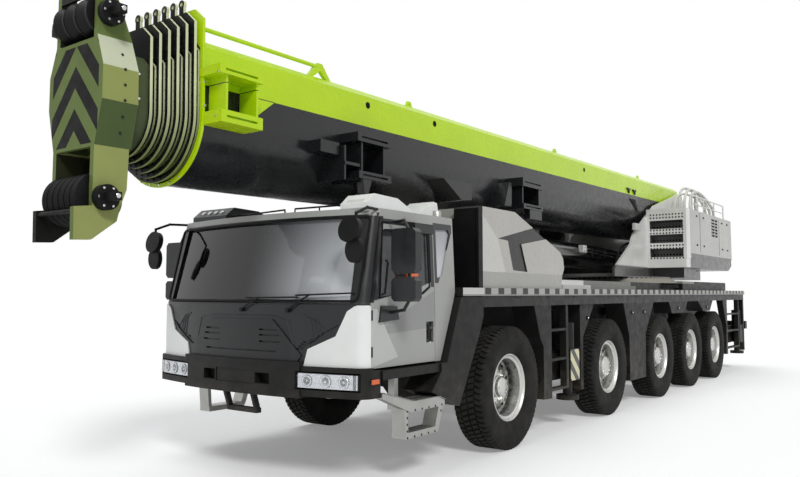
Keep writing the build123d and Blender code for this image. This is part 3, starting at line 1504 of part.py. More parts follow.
def carry_bracket(x1, s0, s1, top, bottom, webs):
    """Two channels, one above the other, joined by webs, that carry a stowed jib."""
    x0 = BOOM_HALF_WIDTH * 0.55
    parts = [tray(x0, x1, s0, s1, *top), tray(x0, x1, s0 + 20, s1, *bottom)]
    parts += [block(x0, x1 - 30, web - 12, web + 12, bottom[0], top[1]) for web in webs]
    return parts


def side_brackets():
    """Stowage brackets, gussets, plates and lifting lugs on the base section's left side."""
    near = BOOM_HALF_WIDTH * 0.55
    half = BOOM_HALF_WIDTH
    parts = carry_bracket(800, -3635, -3160, (3540, 3616), (3136, 3240), (-3535, -3200))
    gusset = [(-3180, 3616), (-2800, 3490), (-3120, 3240), (-3180, 3240)]
    parts.append(side_prism(gusset, half - 10, half + 14))
    parts += carry_bracket(800, -1880, -1330, (3265, 3356), (2890, 2965), (-1780, -1420))
    parts.append(side_prism([(-1790, 2900), (-1640, 2900), (-1700, 2746), (-1760, 2746)], 700, 790))
    parts.append(side_prism([(-1345, 3356), (-1240, 3100), (-1345, 2890)], near, half + 14))
    parts += carry_bracket(800, 1670, 2280, (3220, 3340), (2910, 2980), (1720, 2220))
    parts.append(block(700, 790, 1890, 2260, 2780, 2915))
    parts.append(block(near, 700, -2320, -2050, 3100, 3220))
    parts.append(block(near, 750, -2030, -2005, 2860, 3200))
    parts.append(block(near, 750, -1800, -1775, 2860, 3200))
    parts.append(block(near, 760, -2030, -1775, 3010, 3040))
    parts.append(side_prism([(1460, 3250), (1530, 3250), (1520, 2920), (1325, 2920)], near, 700))
    parts.append(side_prism([(-252, 3091), (389, 3094), (387, 2893), (153, 2869)], near, 750))
    return parts


def lifting_lugs():
    """Plates on the top edge of the base section that take its lifting slings."""
    x = BOOM_HALF_WIDTH - BOOM_CORNER - 30
    top = BOOM_ABOVE_PIVOT
    parts = []
    for station in (-550, 3430, 7310):
        ahead = BOOM_PIVOT_STATION - station
        low = top - 20
        high = top + 62
        face = [(ahead - 70, low), (ahead + 70, low), (ahead + 32, high), (ahead - 32, high)]
        plate = along_boom(face, x, x + 24) - boom_pin(ahead, top + 24, 14, x - 5, x + 30)
        parts.append(plate)
    return parts


def top_tube():
    """Tube along the top left edge behind the first collar, on its end lug and rear bracket."""
    front = BOOM_FRONT_REACH
    top = BOOM_ABOVE_PIVOT
    up = top + TUBE_ABOVE
    plane = Plane(origin=(TUBE_X, -front - COLLAR_LENGTH / 2, up), z_dir=(0, 1, 0))
    tube = extrude(plane * Circle(TUBE_RADIUS), amount=TUBE_LENGTH)
    rear = front - TUBE_LENGTH
    lug = along_boom(
        [(front - 60, top - 20), (front, top - 20), (front, up + 30), (front - 40, up + 30)],
        TUBE_X - 30,
        TUBE_X + 30,
    )
    bracket = along_boom(
        [
            (rear + 130, top - 20), (rear + 190, top - 20), (rear + 40, up + 34), (rear - 30, up + 34),
            (rear - 170, top - 20), (rear - 110, top - 20), (rear, up - 40),
        ],
        TUBE_X - 25,
        TUBE_X + 15,
    )
    return [tube, lug, bracket]


def boom_base():
    """Base section with its pivot pin, rod-eye lugs, side brackets and top tube."""
    reach = SIDE_PLATE_X + SIDE_PLATE_THICKNESS
    pin = boom_pin(0, 0, BOOM_PIN_RADIUS, -reach, reach)
    shell = fuse([boom_section(0), pin] + lifting_lugs() + top_tube())
    hollow = boom_place * section_hollow(0, BOOM_PIN_RADIUS + 40, BOOM_FRONT_REACH + 2 * COLLAR_PITCH)
    extras = fuse(side_brackets() + rod_eye_lugs()) - hollow
    return fuse([boom_place * shell, extras])


nodes["boom_base"] = boom_base()
for index in range(1, SECTION_COUNT):
    nodes[f"boom_section_{index + 1}"] = boom_place * boom_section(index)


# ---------------------------------------------------------------- boom head

# (ahead of the head's plane, above the boom's axis)
HEAD_SIDE = [
    (0, -305), (0, 557), (78, 753), (170, 977), (297, 977), (327, -643), (327, -783), (477, -800),
    (477, -1048), (332, -1043), (120, -893), (85, -763), (35, -636), (18, -305),
]
HEAD_TOP = 977.0
HEAD_WIDE_TOP = 307.0
HEAD_WIDE_BOTTOM = 37.0
HEAD_NARROW_TOP = 547.0
HEAD_NARROW_BOTTOM = -313.0
HEAD_FOOT = -1048.0
FRONT_PLATE_UP = (-323.0, 537.0)
TOP_BAR_UP = 893.0
ROPE_GUARD_AHEAD = 452.0
ROPE_GUARD_UP = -830.0
ROPE_GUARD_RADIUS = 18.0


def head_outline(inset, low, high):
    """Front outline of the head, wide at its waist, drawn in from the sides by an inset."""
    narrow = HEAD_NARROW_HALF - inset
    wide = HEAD_WIDE_HALF - inset
    right = [
        (narrow, high), (narrow, HEAD_NARROW_TOP), (wide, HEAD_WIDE_TOP),
        (wide, HEAD_WIDE_BOTTOM), (narrow, HEAD_NARROW_BOTTOM), (narrow, low),
    ]
    left = [(-x, up) for x, up in reversed(right)]
    return make_face(Polyline(*(right + left), close=True))


def head_form():
    """Side outline of the head as a solid across its whole width."""
    points = [(HEAD_PLANE + ahead, up) for ahead, up in HEAD_SIDE]
    return along_boom(points, -HEAD_WIDE_HALF, HEAD_WIDE_HALF)


def head_front(up):
    """Distance of the head's front face ahead of the pivot at a height above the boom's axis."""
    top = HEAD_SIDE[4]
    foot = HEAD_SIDE[5]
    return HEAD_PLANE + top[0] + (foot[0] - top[0]) * (top[1] - up) / (top[1] - foot[1])


def head_pin(ahead, up):
    """Sheave pin with its bosses outside the plates and a square bar beyond each."""
    half = HEAD_NARROW_HALF
    boss = boom_pin(ahead, up, PIN_BOSS_RADIUS, half, half + PIN_BOSS_LENGTH)
    bar_x = half + PIN_BOSS_LENGTH
    edge = PIN_BAR / 2
    low = up - edge
    high = up + edge
    square = [(ahead - edge, low), (ahead + edge, low), (ahead + edge, high), (ahead - edge, high)]
    bar = along_boom(square, bar_x - 1, bar_x + PIN_BAR_LENGTH)
    return [boom_pin(ahead, up, SHEAVE_PIN_RADIUS, -half, half)] + both_sides(fuse([boss, bar]))


def boom_head():
    """Two bent side plates on an end wall, a flush front plate, a top bar and the sheave pins."""
    far = HEAD_PLANE + 600
    shell = across_boom(head_outline(0, HEAD_FOOT - 10, HEAD_TOP + 10), HEAD_PLANE, far)
    inside = across_boom(head_outline(HEAD_PLATE, HEAD_FOOT - 20, HEAD_TOP + 20), HEAD_PLANE - 1, far + 1)
    plates = (shell - inside) & head_form()
    low, high = FRONT_PLATE_UP
    depth = HEAD_FRONT_PLATE
    face = [
        (head_front(low), low), (head_front(high), high), (head_front(high) - depth, high),
        (head_front(low) - depth, low),
    ]
    front_plate = along_boom(face, -HEAD_WIDE_HALF, HEAD_WIDE_HALF) & shell
    low = TOP_BAR_UP
    high = HEAD_TOP
    depth = TOP_BAR_DEPTH
    bar = [
        (head_front(low), low), (head_front(high), high), (head_front(high) - depth, high),
        (head_front(low) - depth, low),
    ]
    top_bar = along_boom(bar, -HEAD_NARROW_HALF, HEAD_NARROW_HALF)
    end_wall = across_boom(boom_outline(*section_size(SECTION_COUNT - 1)), HEAD_PLANE, HEAD_PLANE + END_WALL)
    rear_web = along_boom(
        [(HEAD_PLANE, -500), (HEAD_PLANE, -200), (HEAD_PLANE + END_WALL + 5, -200), (HEAD_PLANE + 60, -500)],
        -HEAD_NARROW_HALF + 10,
        HEAD_NARROW_HALF - 10,
    ) & head_form()
    half = HEAD_NARROW_HALF
    guard = boom_pin(HEAD_PLANE + ROPE_GUARD_AHEAD, ROPE_GUARD_UP, ROPE_GUARD_RADIUS, -half, half)
    parts = [plates, front_plate, top_bar, end_wall, rear_web]
    parts += head_pin(HEAD_PLANE + UPPER_PIN_AHEAD, UPPER_PIN_UP)
    parts += head_pin(HEAD_PLANE + LOWER_PIN_AHEAD, LOWER_PIN_UP)
    return fuse(parts + [guard])


def sheaves(ahead, up, count, radius):
    """Row of grooved sheaves on one pin."""
    half = HEAD_NARROW_HALF - HEAD_PLATE
    pitch = 2 * half / count
    edge = pitch / 2 - SHEAVE_GAP
    bore = SHEAVE_PIN_RADIUS + 1
    groove = make_face(
        Polyline(
            (-edge, bore), (-edge, radius), (0, radius - SHEAVE_GROOVE), (edge, radius), (edge, bore),
            close=True,
        )
    )
    disc = revolve(groove, Axis.X)
    return [Pos(-half + pitch * (i + 0.5), -ahead, up) * disc for i in range(count)]


upper_row = sheaves(HEAD_PLANE + UPPER_PIN_AHEAD, UPPER_PIN_UP, UPPER_SHEAVES, UPPER_SHEAVE_RADIUS)
lower_row = sheaves(HEAD_PLANE + LOWER_PIN_AHEAD, LOWER_PIN_UP, LOWER_SHEAVES, LOWER_SHEAVE_RADIUS)
nodes["boom_head"] = boom_place * boom_head()
nodes["sheaves"] = boom_place * group(upper_row + lower_row)


# ---------------------------------------------------------------- derricking cylinder

def cylinder():
    """Hollow barrel with its base eye, and the rod with its eye."""
    base = Vector(0, CYLINDER_BASE_STATION, CYLINDER_BASE_Z)
    tip = Vector(0, ROD_EYE_STATION, ROD_EYE_Z)
    along = (tip - base).normalized()
    length = (tip - base).length
    half = EYE_WIDTH / 2

    def at(distance):
        return tuple(base + along * distance)

    barrel = rod(at(200), at(length - 260), BARREL_RADIUS)
    bore = rod(at(330), at(length - 250), BARREL_BORE)
    neck = rod(at(0), at(210), half - 2)
    base_eye = cross_rod(CYLINDER_BASE_STATION, CYLINDER_BASE_Z, CYLINDER_PIN_RADIUS + EYE_WALL, -half, half)
    base_bore = cross_rod(
        CYLINDER_BASE_STATION, CYLINDER_BASE_Z, CYLINDER_PIN_RADIUS + PIN_PLAY, -EYE_WIDTH, EYE_WIDTH
    )
    eye = cross_rod(ROD_EYE_STATION, ROD_EYE_Z, CYLINDER_PIN_RADIUS + EYE_WALL, -half, half)
    eye_bore = cross_rod(ROD_EYE_STATION, ROD_EYE_Z, CYLINDER_PIN_RADIUS + 3, -EYE_WIDTH, EYE_WIDTH)
    shaft = rod(at(400), at(length - 230), ROD_RADIUS)
    flat_end = rod(at(length - 240), at(length), ROD_RADIUS) & block(
        -half, half, ROD_EYE_STATION - 400, ROD_EYE_STATION + 600, 0, 2 * ROD_EYE_Z
    )
    barrel_body = fuse([barrel, base_eye, neck]) - bore - base_bore
    return barrel_body, fuse([shaft, flat_end, eye]) - eye_bore


nodes["cylinder_barrel"], nodes["cylinder_rod"] = cylinder()

for name, shape in nodes.items():
    export_step(shape, f"parts/{name}.step")
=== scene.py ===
"""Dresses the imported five-axle mobile crane in paint, rubber, glass and small fittings.

Metres, Z up. The crane drives towards -Y and its left side is +X, as in the frame. A station is a
distance behind the front axle. Colours are 8-bit sRGB triples, made linear where they are used.
"""

import math

import bmesh
import bpy
from mathutils import Matrix, Vector
from mathutils.bvhtree import BVHTree

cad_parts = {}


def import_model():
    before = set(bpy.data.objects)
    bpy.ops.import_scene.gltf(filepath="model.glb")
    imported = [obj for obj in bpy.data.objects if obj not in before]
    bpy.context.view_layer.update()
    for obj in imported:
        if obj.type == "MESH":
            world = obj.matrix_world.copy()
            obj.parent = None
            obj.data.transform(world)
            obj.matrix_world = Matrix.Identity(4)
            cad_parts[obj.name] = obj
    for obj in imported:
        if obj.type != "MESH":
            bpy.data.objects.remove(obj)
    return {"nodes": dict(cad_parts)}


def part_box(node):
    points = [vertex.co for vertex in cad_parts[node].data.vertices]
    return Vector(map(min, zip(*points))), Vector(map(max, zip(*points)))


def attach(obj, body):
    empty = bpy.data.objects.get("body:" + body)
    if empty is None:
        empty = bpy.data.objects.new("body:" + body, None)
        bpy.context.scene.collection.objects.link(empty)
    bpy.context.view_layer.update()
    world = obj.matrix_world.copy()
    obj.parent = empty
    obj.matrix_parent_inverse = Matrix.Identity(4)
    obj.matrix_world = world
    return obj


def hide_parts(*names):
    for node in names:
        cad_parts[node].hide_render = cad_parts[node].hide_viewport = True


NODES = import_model()["nodes"]
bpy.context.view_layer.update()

FRONT_AXLE_Y = -3.640
SIDES = ((1, "left"), (-1, "right"))
OUTSIDE = 3.0
AHEAD_Y = -8.0

# The boom's axis runs from its pivot and rises a little towards the head.
PIVOT_STATION = 9.1
PIVOT_Z = 3.40
BOOM_TILT = math.radians(0.9)
HEAD_AHEAD = 13.205

CAMERA_PLACE = (5.538, -11.208, 1.738)
CAMERA_TURN = (math.radians(94.189), 0.0, math.radians(36.555))
CAMERA_LENS = 33.71
SKY_LIGHT = 0.30
FLOOR_HALF = 60.0
FLOOR_GLOW = 0.23

# Half the width over which a mask fades, in metres.
SOFT_EDGE = 0.0015


def behind(station):
    """Y of a place measured back from the front axle."""
    return FRONT_AXLE_Y + station


def spread(first, last, count):
    """Evenly spaced numbers with both ends."""
    return [first + (last - first) * k / (count - 1) for k in range(count)]


# ---------------------------------------------------------------- shader nodes

def linear(red, green, blue):
    """Linear colour of an 8-bit sRGB one."""
    def one(value):
        value /= 255.0
        return value / 12.92 if value <= 0.04045 else ((value + 0.055) / 1.055) ** 2.4
    return (one(red), one(green), one(blue), 1.0)


def put(tree, socket, value):
    """Link a socket to a field or socket, or set its number or colour."""
    if isinstance(value, Field):
        value = value.socket
    if isinstance(value, bpy.types.NodeSocket):
        tree.links.new(value, socket)
    elif isinstance(value, tuple) and len(value) == 3:
        socket.default_value = linear(*value)
    else:
        socket.default_value = value


def add_node(tree, kind, *values, **settings):
    """Node with its settings made and its first inputs filled."""
    node = tree.nodes.new("ShaderNode" + kind)
    for name, setting in settings.items():
        setattr(node, name, setting)
    for socket, value in zip(node.inputs, values):
        put(tree, socket, value)
    return node


class Field:
    """Number that varies over a surface, with arithmetic and comparisons that give masks."""

    def __init__(self, tree, socket):
        self.tree = tree
        self.socket = socket

    def math(self, operation, *others):
        """Result of a math node."""
        return Field(self.tree, add_node(self.tree, "Math", self, *others, operation=operation).outputs[0])

    def ramp(self, low, high, to_low=0.0, to_high=1.0):
        """Smooth step between two limits."""
        node = add_node(self.tree, "MapRange", self, low, high, to_low, to_high,
                        interpolation_type="SMOOTHSTEP")
        return Field(self.tree, node.outputs[0])

    def above(self, limit, soft=SOFT_EDGE):
        """1 above a limit."""
        return self.ramp(limit - soft, limit + soft)

    def below(self, limit, soft=SOFT_EDGE):
        """1 below a limit."""
        return self.ramp(limit - soft, limit + soft, 1.0, 0.0)

    def within(self, low, high, soft=SOFT_EDGE):
        """1 between two limits."""
        return self.above(low, soft) * self.below(high, soft)

    def __add__(self, other):
        return self.math("ADD", other)

    def __sub__(self, other):
        return self.math("SUBTRACT", other)

    def __rsub__(self, other):
        return Field(self.tree, add_node(self.tree, "Math", other, self, operation="SUBTRACT").outputs[0])

    def __mul__(self, other):
        return self.math("MULTIPLY", other)

    def __truediv__(self, other):
        return self.math("DIVIDE", other)

    def __abs__(self):
        return self.math("ABSOLUTE")

    def __or__(self, other):
        return self.math("MAXIMUM", other)

    __and__ = __mul__
    __gt__ = above
    __lt__ = below


# ---------------------------------------------------------------- camera and light

def set_camera():
    """Camera low ahead of the crane's left corner."""
    data = bpy.data.cameras.new("camera")
    data.sensor_width = 36.0
    data.lens = CAMERA_LENS
    data.clip_end = 200.0
    camera = bpy.data.objects.new("camera", data)
    camera.location = CAMERA_PLACE
    camera.rotation_euler = CAMERA_TURN
    bpy.context.scene.collection.objects.link(camera)
    bpy.context.scene.camera = camera


def add_sun(name, place, target, spread_degrees, strength):
    """Broad even lamp shining from one place towards another."""
    data = bpy.data.lights.new(name, "SUN")
    data.energy = strength
    data.angle = math.radians(spread_degrees)
    lamp = bpy.data.objects.new(name, data)
    lamp.location = place
    lamp.rotation_euler = (Vector(target) - Vector(place)).to_track_quat("-Z", "Y").to_euler()
    bpy.context.scene.collection.objects.link(lamp)


def shown_to_camera(tree):
    """1 for camera, glossy and transmission rays, 0 for the light that falls on things."""
    path = add_node(tree, "LightPath")
    shown = Field(tree, path.outputs["Is Camera Ray"])
    for name in ("Is Glossy Ray", "Is Transmission Ray"):
        shown = shown | path.outputs[name]
    return shown


def set_world():
    """Even grey sky for the light, white behind the object."""
    world = bpy.data.worlds.new("studio")
    bpy.context.scene.world = world
    world.use_nodes = True
    tree = world.node_tree
    tree.nodes.clear()
    light = add_node(tree, "Background", (0.95, 0.97, 1.0, 1.0), SKY_LIGHT)
    white = add_node(tree, "Background", (1.0, 1.0, 1.0, 1.0), 1.0)
    mix = add_node(tree, "MixShader", shown_to_camera(tree), light.outputs[0], white.outputs[0])
    add_node(tree, "OutputWorld", mix.outputs[0])


def add_floor():
    """Plain white floor that shows white to the camera and keeps the object's shadow."""
    mesh = bpy.data.meshes.new("floor")
    corners = [(x * FLOOR_HALF, y * FLOOR_HALF, 0.0) for x, y in ((-1, -1), (1, -1), (1, 1), (-1, 1))]
    mesh.from_pydata(corners, [], [(0, 1, 2, 3)])
    floor = bpy.data.objects.new("floor", mesh)
    bpy.context.scene.collection.objects.link(floor)
    material = bpy.data.materials.new("floor")
    material.use_nodes = True
    tree = material.node_tree
    for name, value in (
        ("Base Color", (0.94, 0.94, 0.94, 1.0)),
        ("Roughness", 0.9),
        ("Specular IOR Level", 0.1),
        ("Emission Color", (1.0, 1.0, 1.0, 1.0)),
        ("Emission Strength", shown_to_camera(tree) * FLOOR_GLOW),
    ):
        put(tree, tree.nodes["Principled BSDF"].inputs[name], value)
    mesh.materials.append(material)


# ---------------------------------------------------------------- looks

class Look:
    """Material under construction, whose masks in object coordinates paint one colour over another."""

    def __init__(self, name, base, roughness=0.5, metallic=0.0, coat=0.0, specular=0.5):
        self.material = bpy.data.materials.new(name)
        self.material.use_nodes = True
        self.tree = self.material.node_tree
        self.coords = self.tree.nodes.new("ShaderNodeTexCoord")
        self.base = base
        for socket, number in (("Roughness", roughness), ("Metallic", metallic), ("Coat Weight", coat),
                               ("Coat Roughness", 0.12), ("Specular IOR Level", specular)):
            self.put(socket, number)

    def put(self, name, value):
        """Give one of the shader's inputs a field, colour or number."""
        put(self.tree, self.tree.nodes["Principled BSDF"].inputs[name], value)

    def axes(self, output="Object"):
        """X, Y and Z of the place, or of another output of the texture coordinates."""
        node = add_node(self.tree, "SeparateXYZ", self.coords.outputs[output])
        return [Field(self.tree, socket) for socket in node.outputs]

    def noise(self, scale, detail=3.0, roughness=0.55):
        """Noise from 0 to 1 with a scale in features a metre."""
        node = add_node(self.tree, "TexNoise", self.coords.outputs["Object"])
        for name, value in (("Scale", scale), ("Detail", detail), ("Roughness", roughness)):
            node.inputs[name].default_value = value
        return Field(self.tree, node.outputs["Fac"])

    def mix(self, factor, first, second):
        """Colour between two others."""
        node = add_node(self.tree, "Mix", data_type="RGBA")
        put(self.tree, node.inputs["Factor"], factor)
        colours = [socket for socket in node.inputs if socket.type == "RGBA"]
        put(self.tree, colours[0], first)
        put(self.tree, colours[1], second)
        return next(socket for socket in node.outputs if socket.type == "RGBA")

    def over(self, mask, colour):
        """Paint a colour over the base where a mask is 1."""
        self.base = self.mix(mask, self.base, colour)

    def gloss(self, scale, detail, low, high):
        """Roughness that wanders between two values."""
        self.put("Roughness", self.noise(scale, detail).ramp(0.3, 0.7, low, high))

    def bump(self, height, distance, strength):
        """Relief from a height field, with its depth in metres."""
        node = add_node(self.tree, "Bump")
        for name, value in (("Strength", strength), ("Distance", distance), ("Height", height)):
            put(self.tree, node.inputs[name], value)
        self.put("Normal", node.outputs[0])

    def weathered(self, dust=0.0, mottling=0.05, dust_top=1.2):
        """Base colour with broad mottling and road dust that thins out with height."""
        darker = self.mix(2.2 * mottling, self.base, (0, 0, 0))
        mixed = self.mix(self.noise(1.7, 4.0).ramp(0.3, 0.7), darker, self.base)
        if dust:
            height = self.axes()[2].ramp(0.25, dust_top, dust, 0.0)
            mixed = self.mix(height * self.noise(6.0, 6.0, 0.65).ramp(0.35, 0.75), mixed, (150, 140, 122))
        return mixed

    def finish(self, roughness, dust=0.0, mottling=0.04, peel=0.0006, dust_top=1.2):
        """Sprayed paint: weathered colour, uneven gloss and a fine orange peel."""
        self.put("Base Color", self.weathered(dust, mottling, dust_top))
        self.gloss(9.0, 5.0, roughness - 0.06, roughness + 0.08)
        self.bump(self.noise(240.0, 2.0), peel, 0.35)
        return self


def paint(name, colour, roughness=0.34, coat=0.35, dust=0.0, mottling=0.05, peel=0.0006, metallic=0.0):
    """Paint of one colour, with less shine on the dark ones."""
    look = Look(name, colour, roughness, metallic, coat, 0.2 if max(colour) < 64 else 0.5)
    return look.finish(roughness, dust, mottling, peel)


LIME = (196, 232, 12)
BOOM_DARK = (27, 28, 30)
OLIVE = (108, 124, 70)
CAB_GREY = (168, 169, 166)
CAB_DARK = (36, 37, 39)
CAB_WHITE = (244, 245, 243)
CHARCOAL = (27, 27, 26)
WHITE = (222, 222, 218)
HOUSING = (186, 184, 178)
ALLOY = (176, 176, 172)

# Stack of collars along the boom: first front face, pitch, and the share of each pitch that is rim, painted
# bright as a highlight; the rest of each pitch is painted shade.
COLLAR_FIRST = 12.700
COLLAR_PITCH = 0.060
COLLAR_SHARE = 0.433

# Inner edge of the cab's white corners: (height, half width).
CORNER_EDGE = ((1.080, 0.795), (1.085, 0.80), (1.24, 0.845), (1.36, 1.13), (1.58, 1.24), (1.625, 1.31),
               (1.70, 1.45))
# Facets pressed into the doors and the housing's side, painted with the shade and light that they catch:
# (station, height), counter-clockwise.
DOOR_PATCH = ((-2.32, 1.43), (-2.25, 1.37), (-1.40, 1.41), (-1.40, 1.79), (-1.70, 1.66))
DOOR_CORNER = ((-2.45, 1.08), (-2.02, 1.16), (-2.33, 1.60), (-2.45, 1.60))
HOUSING_MARGIN = ((-0.56, 1.80), (-0.05, 1.985), (-0.22, 2.345), (-0.56, 2.60))
# Facets down the flanks of the head, painted with the highlight and shade that each catches by its slope:
# lowest and highest point above the axis, and painted colour.
HEAD_FACET_LIGHT_AND_SHADE = ((0.300, 0.552, (214, 220, 190)), (0.033, 0.300, (156, 164, 98)), (-0.313, 0.033, (84, 99, 60)))


def nose_y(x, z):
    """Y of the cab's outer nose at a width and height."""
    lean = min(max((z - 1.640) / 0.871, 0.0), 1.0)
    half = 1.403 - lean * 0.038
    radius = (half * half + 0.190 * 0.190) / (2 * 0.190)
    bow = math.sqrt(max(radius * radius - x * x, 0.0)) - (radius - 0.190)
    return behind(-2.495 + lean * 0.205 - bow)


def outline_mask(y, z, outline):
    """1 inside a convex outline of (station, height) points, counter-clockwise."""
    mask = None
    points = [(behind(station), height) for station, height in outline]
    for (y0, z0), (y1, z1) in zip(points, points[1:] + points[:1]):
        length = math.hypot(y1 - y0, z1 - z0)
        turned_in = z * ((y1 - y0) / length) - y * ((z1 - z0) / length)
        side = turned_in > (z0 * (y1 - y0) - y0 * (z1 - z0)) / length
        mask = side if mask is None else mask & side
    return mask


def profile(value, points):
    """Straight-sided curve through (value, result) points."""
    low, high = points[0][0], points[-1][0]
    least = min(result for _, result in points)
    most = max(result for _, result in points)
    placed = [((at - low) / (high - low), (result - least) / (most - least)) for at, result in points]
    curve = add_node(value.tree, "FloatCurve")
    line = curve.mapping.curves[0]
    line.points[0].location = placed[0]
    line.points[-1].location = placed[-1]
    for place in placed[1:-1]:
        line.points.new(*place)
    for point in line.points:
        point.handle_type = "VECTOR"
    curve.mapping.update()
    scaled = add_node(value.tree, "MapRange", value, low, high)
    put(value.tree, curve.inputs["Value"], scaled.outputs[0])
    back = add_node(value.tree, "MapRange", curve.outputs[0], 0.0, 1.0, least, most)
    return Field(value.tree, back.outputs[0])


def boom_fields(look):
    """Distance ahead of the boom's pivot, height above its axis and distance from its middle plane."""
    x, y, z = look.axes()
    along = behind(PIVOT_STATION) - y
    height = z - PIVOT_Z
    cosine, sine = math.cos(BOOM_TILT), math.sin(BOOM_TILT)
    return along * cosine - height * sine, height * cosine + along * sine, abs(x)


def base_section_look():
    """Lime above a line along the boom, round the first bracket and over the first collar."""
    look = Look("boom_lime_and_dark", BOOM_DARK, 0.24, 0.0, 0.15, 0.35)
    ahead, up, side = boom_fields(look)
    bracket = (ahead > 12.14) & (side > 0.556) & (up > -0.16)
    arm = ahead.within(11.8, 12.4) & (side > 0.556) & (up > -0.12)
    look.over((up > 0.28) | (ahead > 12.69) | bracket | arm, LIME)
    look.over(up.within(0.272, 0.28) & (ahead < 12.66), (20, 21, 22))
    return look.finish(0.27, 0.0, 0.03, 0.00015)


def telescope_look():
    """Collar rims painted bright as highlights, with painted shade in the gaps and on the front faces, on
    olive sections painted paler towards the top as a painted highlight.
    """
    look = Look("boom_sections", (128, 142, 78), 0.45, 0.0, 0.05, 0.25)
    ahead, up, _ = boom_fields(look)
    # Painted highlight: paler towards the top.
    look.over(up.ramp(-0.45, 0.35), (232, 236, 196))
    # Painted shade in the gaps between the collar rims and on the faces turned forwards.
    turn = ((ahead - COLLAR_FIRST) / COLLAR_PITCH).math("FRACT")
    shaded_gap = turn.above(COLLAR_SHARE + 0.01, 0.01) & ahead.within(COLLAR_FIRST + 0.030, COLLAR_FIRST + 0.40)
    facing_y = look.axes("Normal")[1]
    look.over(shaded_gap | (facing_y * -1.0).above(0.7, 0.05), (16, 17, 15))
    look.over(ahead > COLLAR_FIRST + 0.388, (70, 80, 50))
    look.over(ahead < COLLAR_FIRST - 0.05, (120, 132, 84))
    return look.finish(0.45, 0.0, 0.06)


def head_look():
    """Olive plates with painted highlights and painted shade on the flank facets, a painted shadow on the far
    plate's foot, and dark upward chevrons on the front.
    """
    look = Look("head_olive", OLIVE, 0.55, 0.0, 0.0, 0.12)
    _, up, side = boom_fields(look)
    facing_x, facing_y, _ = look.axes("Normal")
    flank = abs(facing_x).above(0.6, 0.05)
    # Each flank facet is painted paler or darker as the highlight and shade that its slope catches.
    for low, high, colour in HEAD_FACET_LIGHT_AND_SHADE:
        look.over(flank & up.within(low, high), colour)
    # The lowest, upright facet is painted paler, as lit.
    look.over(flank & (up < -0.313), (158, 165, 100))
    turn = ((up + side * 1.17 - (0.169 - 3.41)) / 0.341).math("FRACT")
    front = (facing_y * -1.0).above(0.8, 0.02)
    look.over(turn.below(0.52, 0.006) & front & (side < 0.33) & up.within(-0.295, 0.505), (12, 13, 11))
    look.over((side < 0.246) & ((up > 0.545) | (up < -0.33)), (24, 25, 22))
    look.over((side > 0.2965) & (up.within(0.61, 0.86) | up.within(-0.83, -0.6)), (26, 26, 26))
    # Painted shadow on the inside of the far plate's foot.
    look.over((look.axes()[0] < -0.2) & (up < -0.72), (22, 23, 20))
    return look.finish(0.5, 0.0, 0.06)


def cab_look():
    """Silver cab with white front corners, dark nose, black pillars, a dark inside, and a roof painted light
    on its left half and painted with a shadow on its right half.
    """
    look = Look("cab_silver", CAB_GREY, 0.34, 0.0, 0.12, 0.3)
    x, y, z = look.axes()
    side = abs(x)
    front = y.below(behind(-2.425), 0.001)
    corner = front & (side - profile(z, CORNER_EDGE) > 0.0) & (z < 1.632)
    look.over(front & (z < 1.655), CAB_DARK)
    look.over(front & (side < 0.66) & z.within(1.12, 1.5) & (1.0 - corner), (28, 29, 31))
    look.over(corner, CAB_WHITE)
    look.over((y < behind(-2.20)) & (side < 1.30) & z.within(1.632, 2.452), (22, 23, 24))
    look.over((y < behind(-2.20)) & (side > 1.262) & z.within(1.655, 2.44), (24, 25, 26))
    slant = z + y * -1.9 > 1.87 - 1.9 * behind(-1.32)
    quarter = y.within(behind(-1.40), behind(-1.06)) & z.within(1.84, 2.44) & (side > 1.34)
    look.over(quarter & slant, (60, 61, 62))
    # Roof painted dark on its right half as a painted shadow, and white on its left half as painted light.
    look.over((z > 2.515) & (x < -0.5), (46, 48, 50))
    look.over((z > 2.515) & (x > 0.5), CAB_WHITE)
    look.over(z < 1.075, (26, 26, 26))
    inner_front = x * x * 0.0965 + z.ramp(1.64, 2.511, 0.0, 0.205) + behind(-2.655)
    inside = (side < 1.362) & z.within(1.112, 2.470) & (y < behind(-1.078)) & (y - inner_front > 0.0)
    look.over(inside, (46, 46, 48))
    return look.finish(0.34, 0.10, 0.03)


def door_look():
    """Silver door with black window frame, pull recess, dark inner face, and painted shade and light on its
    pressed facets.
    """
    look = Look("door_silver", CAB_GREY, 0.34, 0.0, 0.12, 0.3)
    x, y, z = look.axes()
    side = abs(x)
    # Painted shade on the door's pressed facet, and painted light on its lower front corner facet.
    look.over(outline_mask(y, z, DOOR_PATCH) & (side > 1.38), (150, 151, 149))
    look.over(outline_mask(y, z, DOOR_CORNER) & (side > 1.38), (196, 197, 194))
    edges = (y < behind(-2.30)) | (z > 2.372) | (y > behind(-1.477))
    look.over(z.within(1.645, 2.42) & (side > 1.34) & edges & (z > 1.80), (52, 53, 55))
    pillar = y + z * -0.227 < behind(-2.372) - 0.227 * 1.672
    look.over((z > 1.655) & (side > 1.30) & pillar, (34, 35, 37))
    look.over(y.within(behind(-1.565), behind(-1.44)) & z.within(1.265, 1.465) & (side < 1.401), (28, 28, 29))
    look.over(side > 1.4065, (34, 35, 37))
    look.over((side < 1.3675) & (z < 1.7), (50, 50, 52))
    return look.finish(0.34, 0.08, 0.03)


def housing_look():
    """Silver housing with a black ribbon let into its side, painted light on a front facet and darker below.
    """
    look = Look("housing_silver", HOUSING, 0.36, 0.0, 0.12, 0.3)
    x, y, z = look.axes()
    side = abs(x)
    look.over(side.within(1.40, 1.4485) & (z > 1.97) & y.within(behind(-0.24), behind(1.02)), (30, 31, 32))
    # Painted light on the housing's front facet; the side below is painted darker.
    look.over(outline_mask(y, z, HOUSING_MARGIN) & (side > 1.4485), (204, 203, 198))
    look.over((z < 1.975) & (side > 1.4485), (168, 167, 162))
    return look.finish(0.3, 0.0, 0.03)


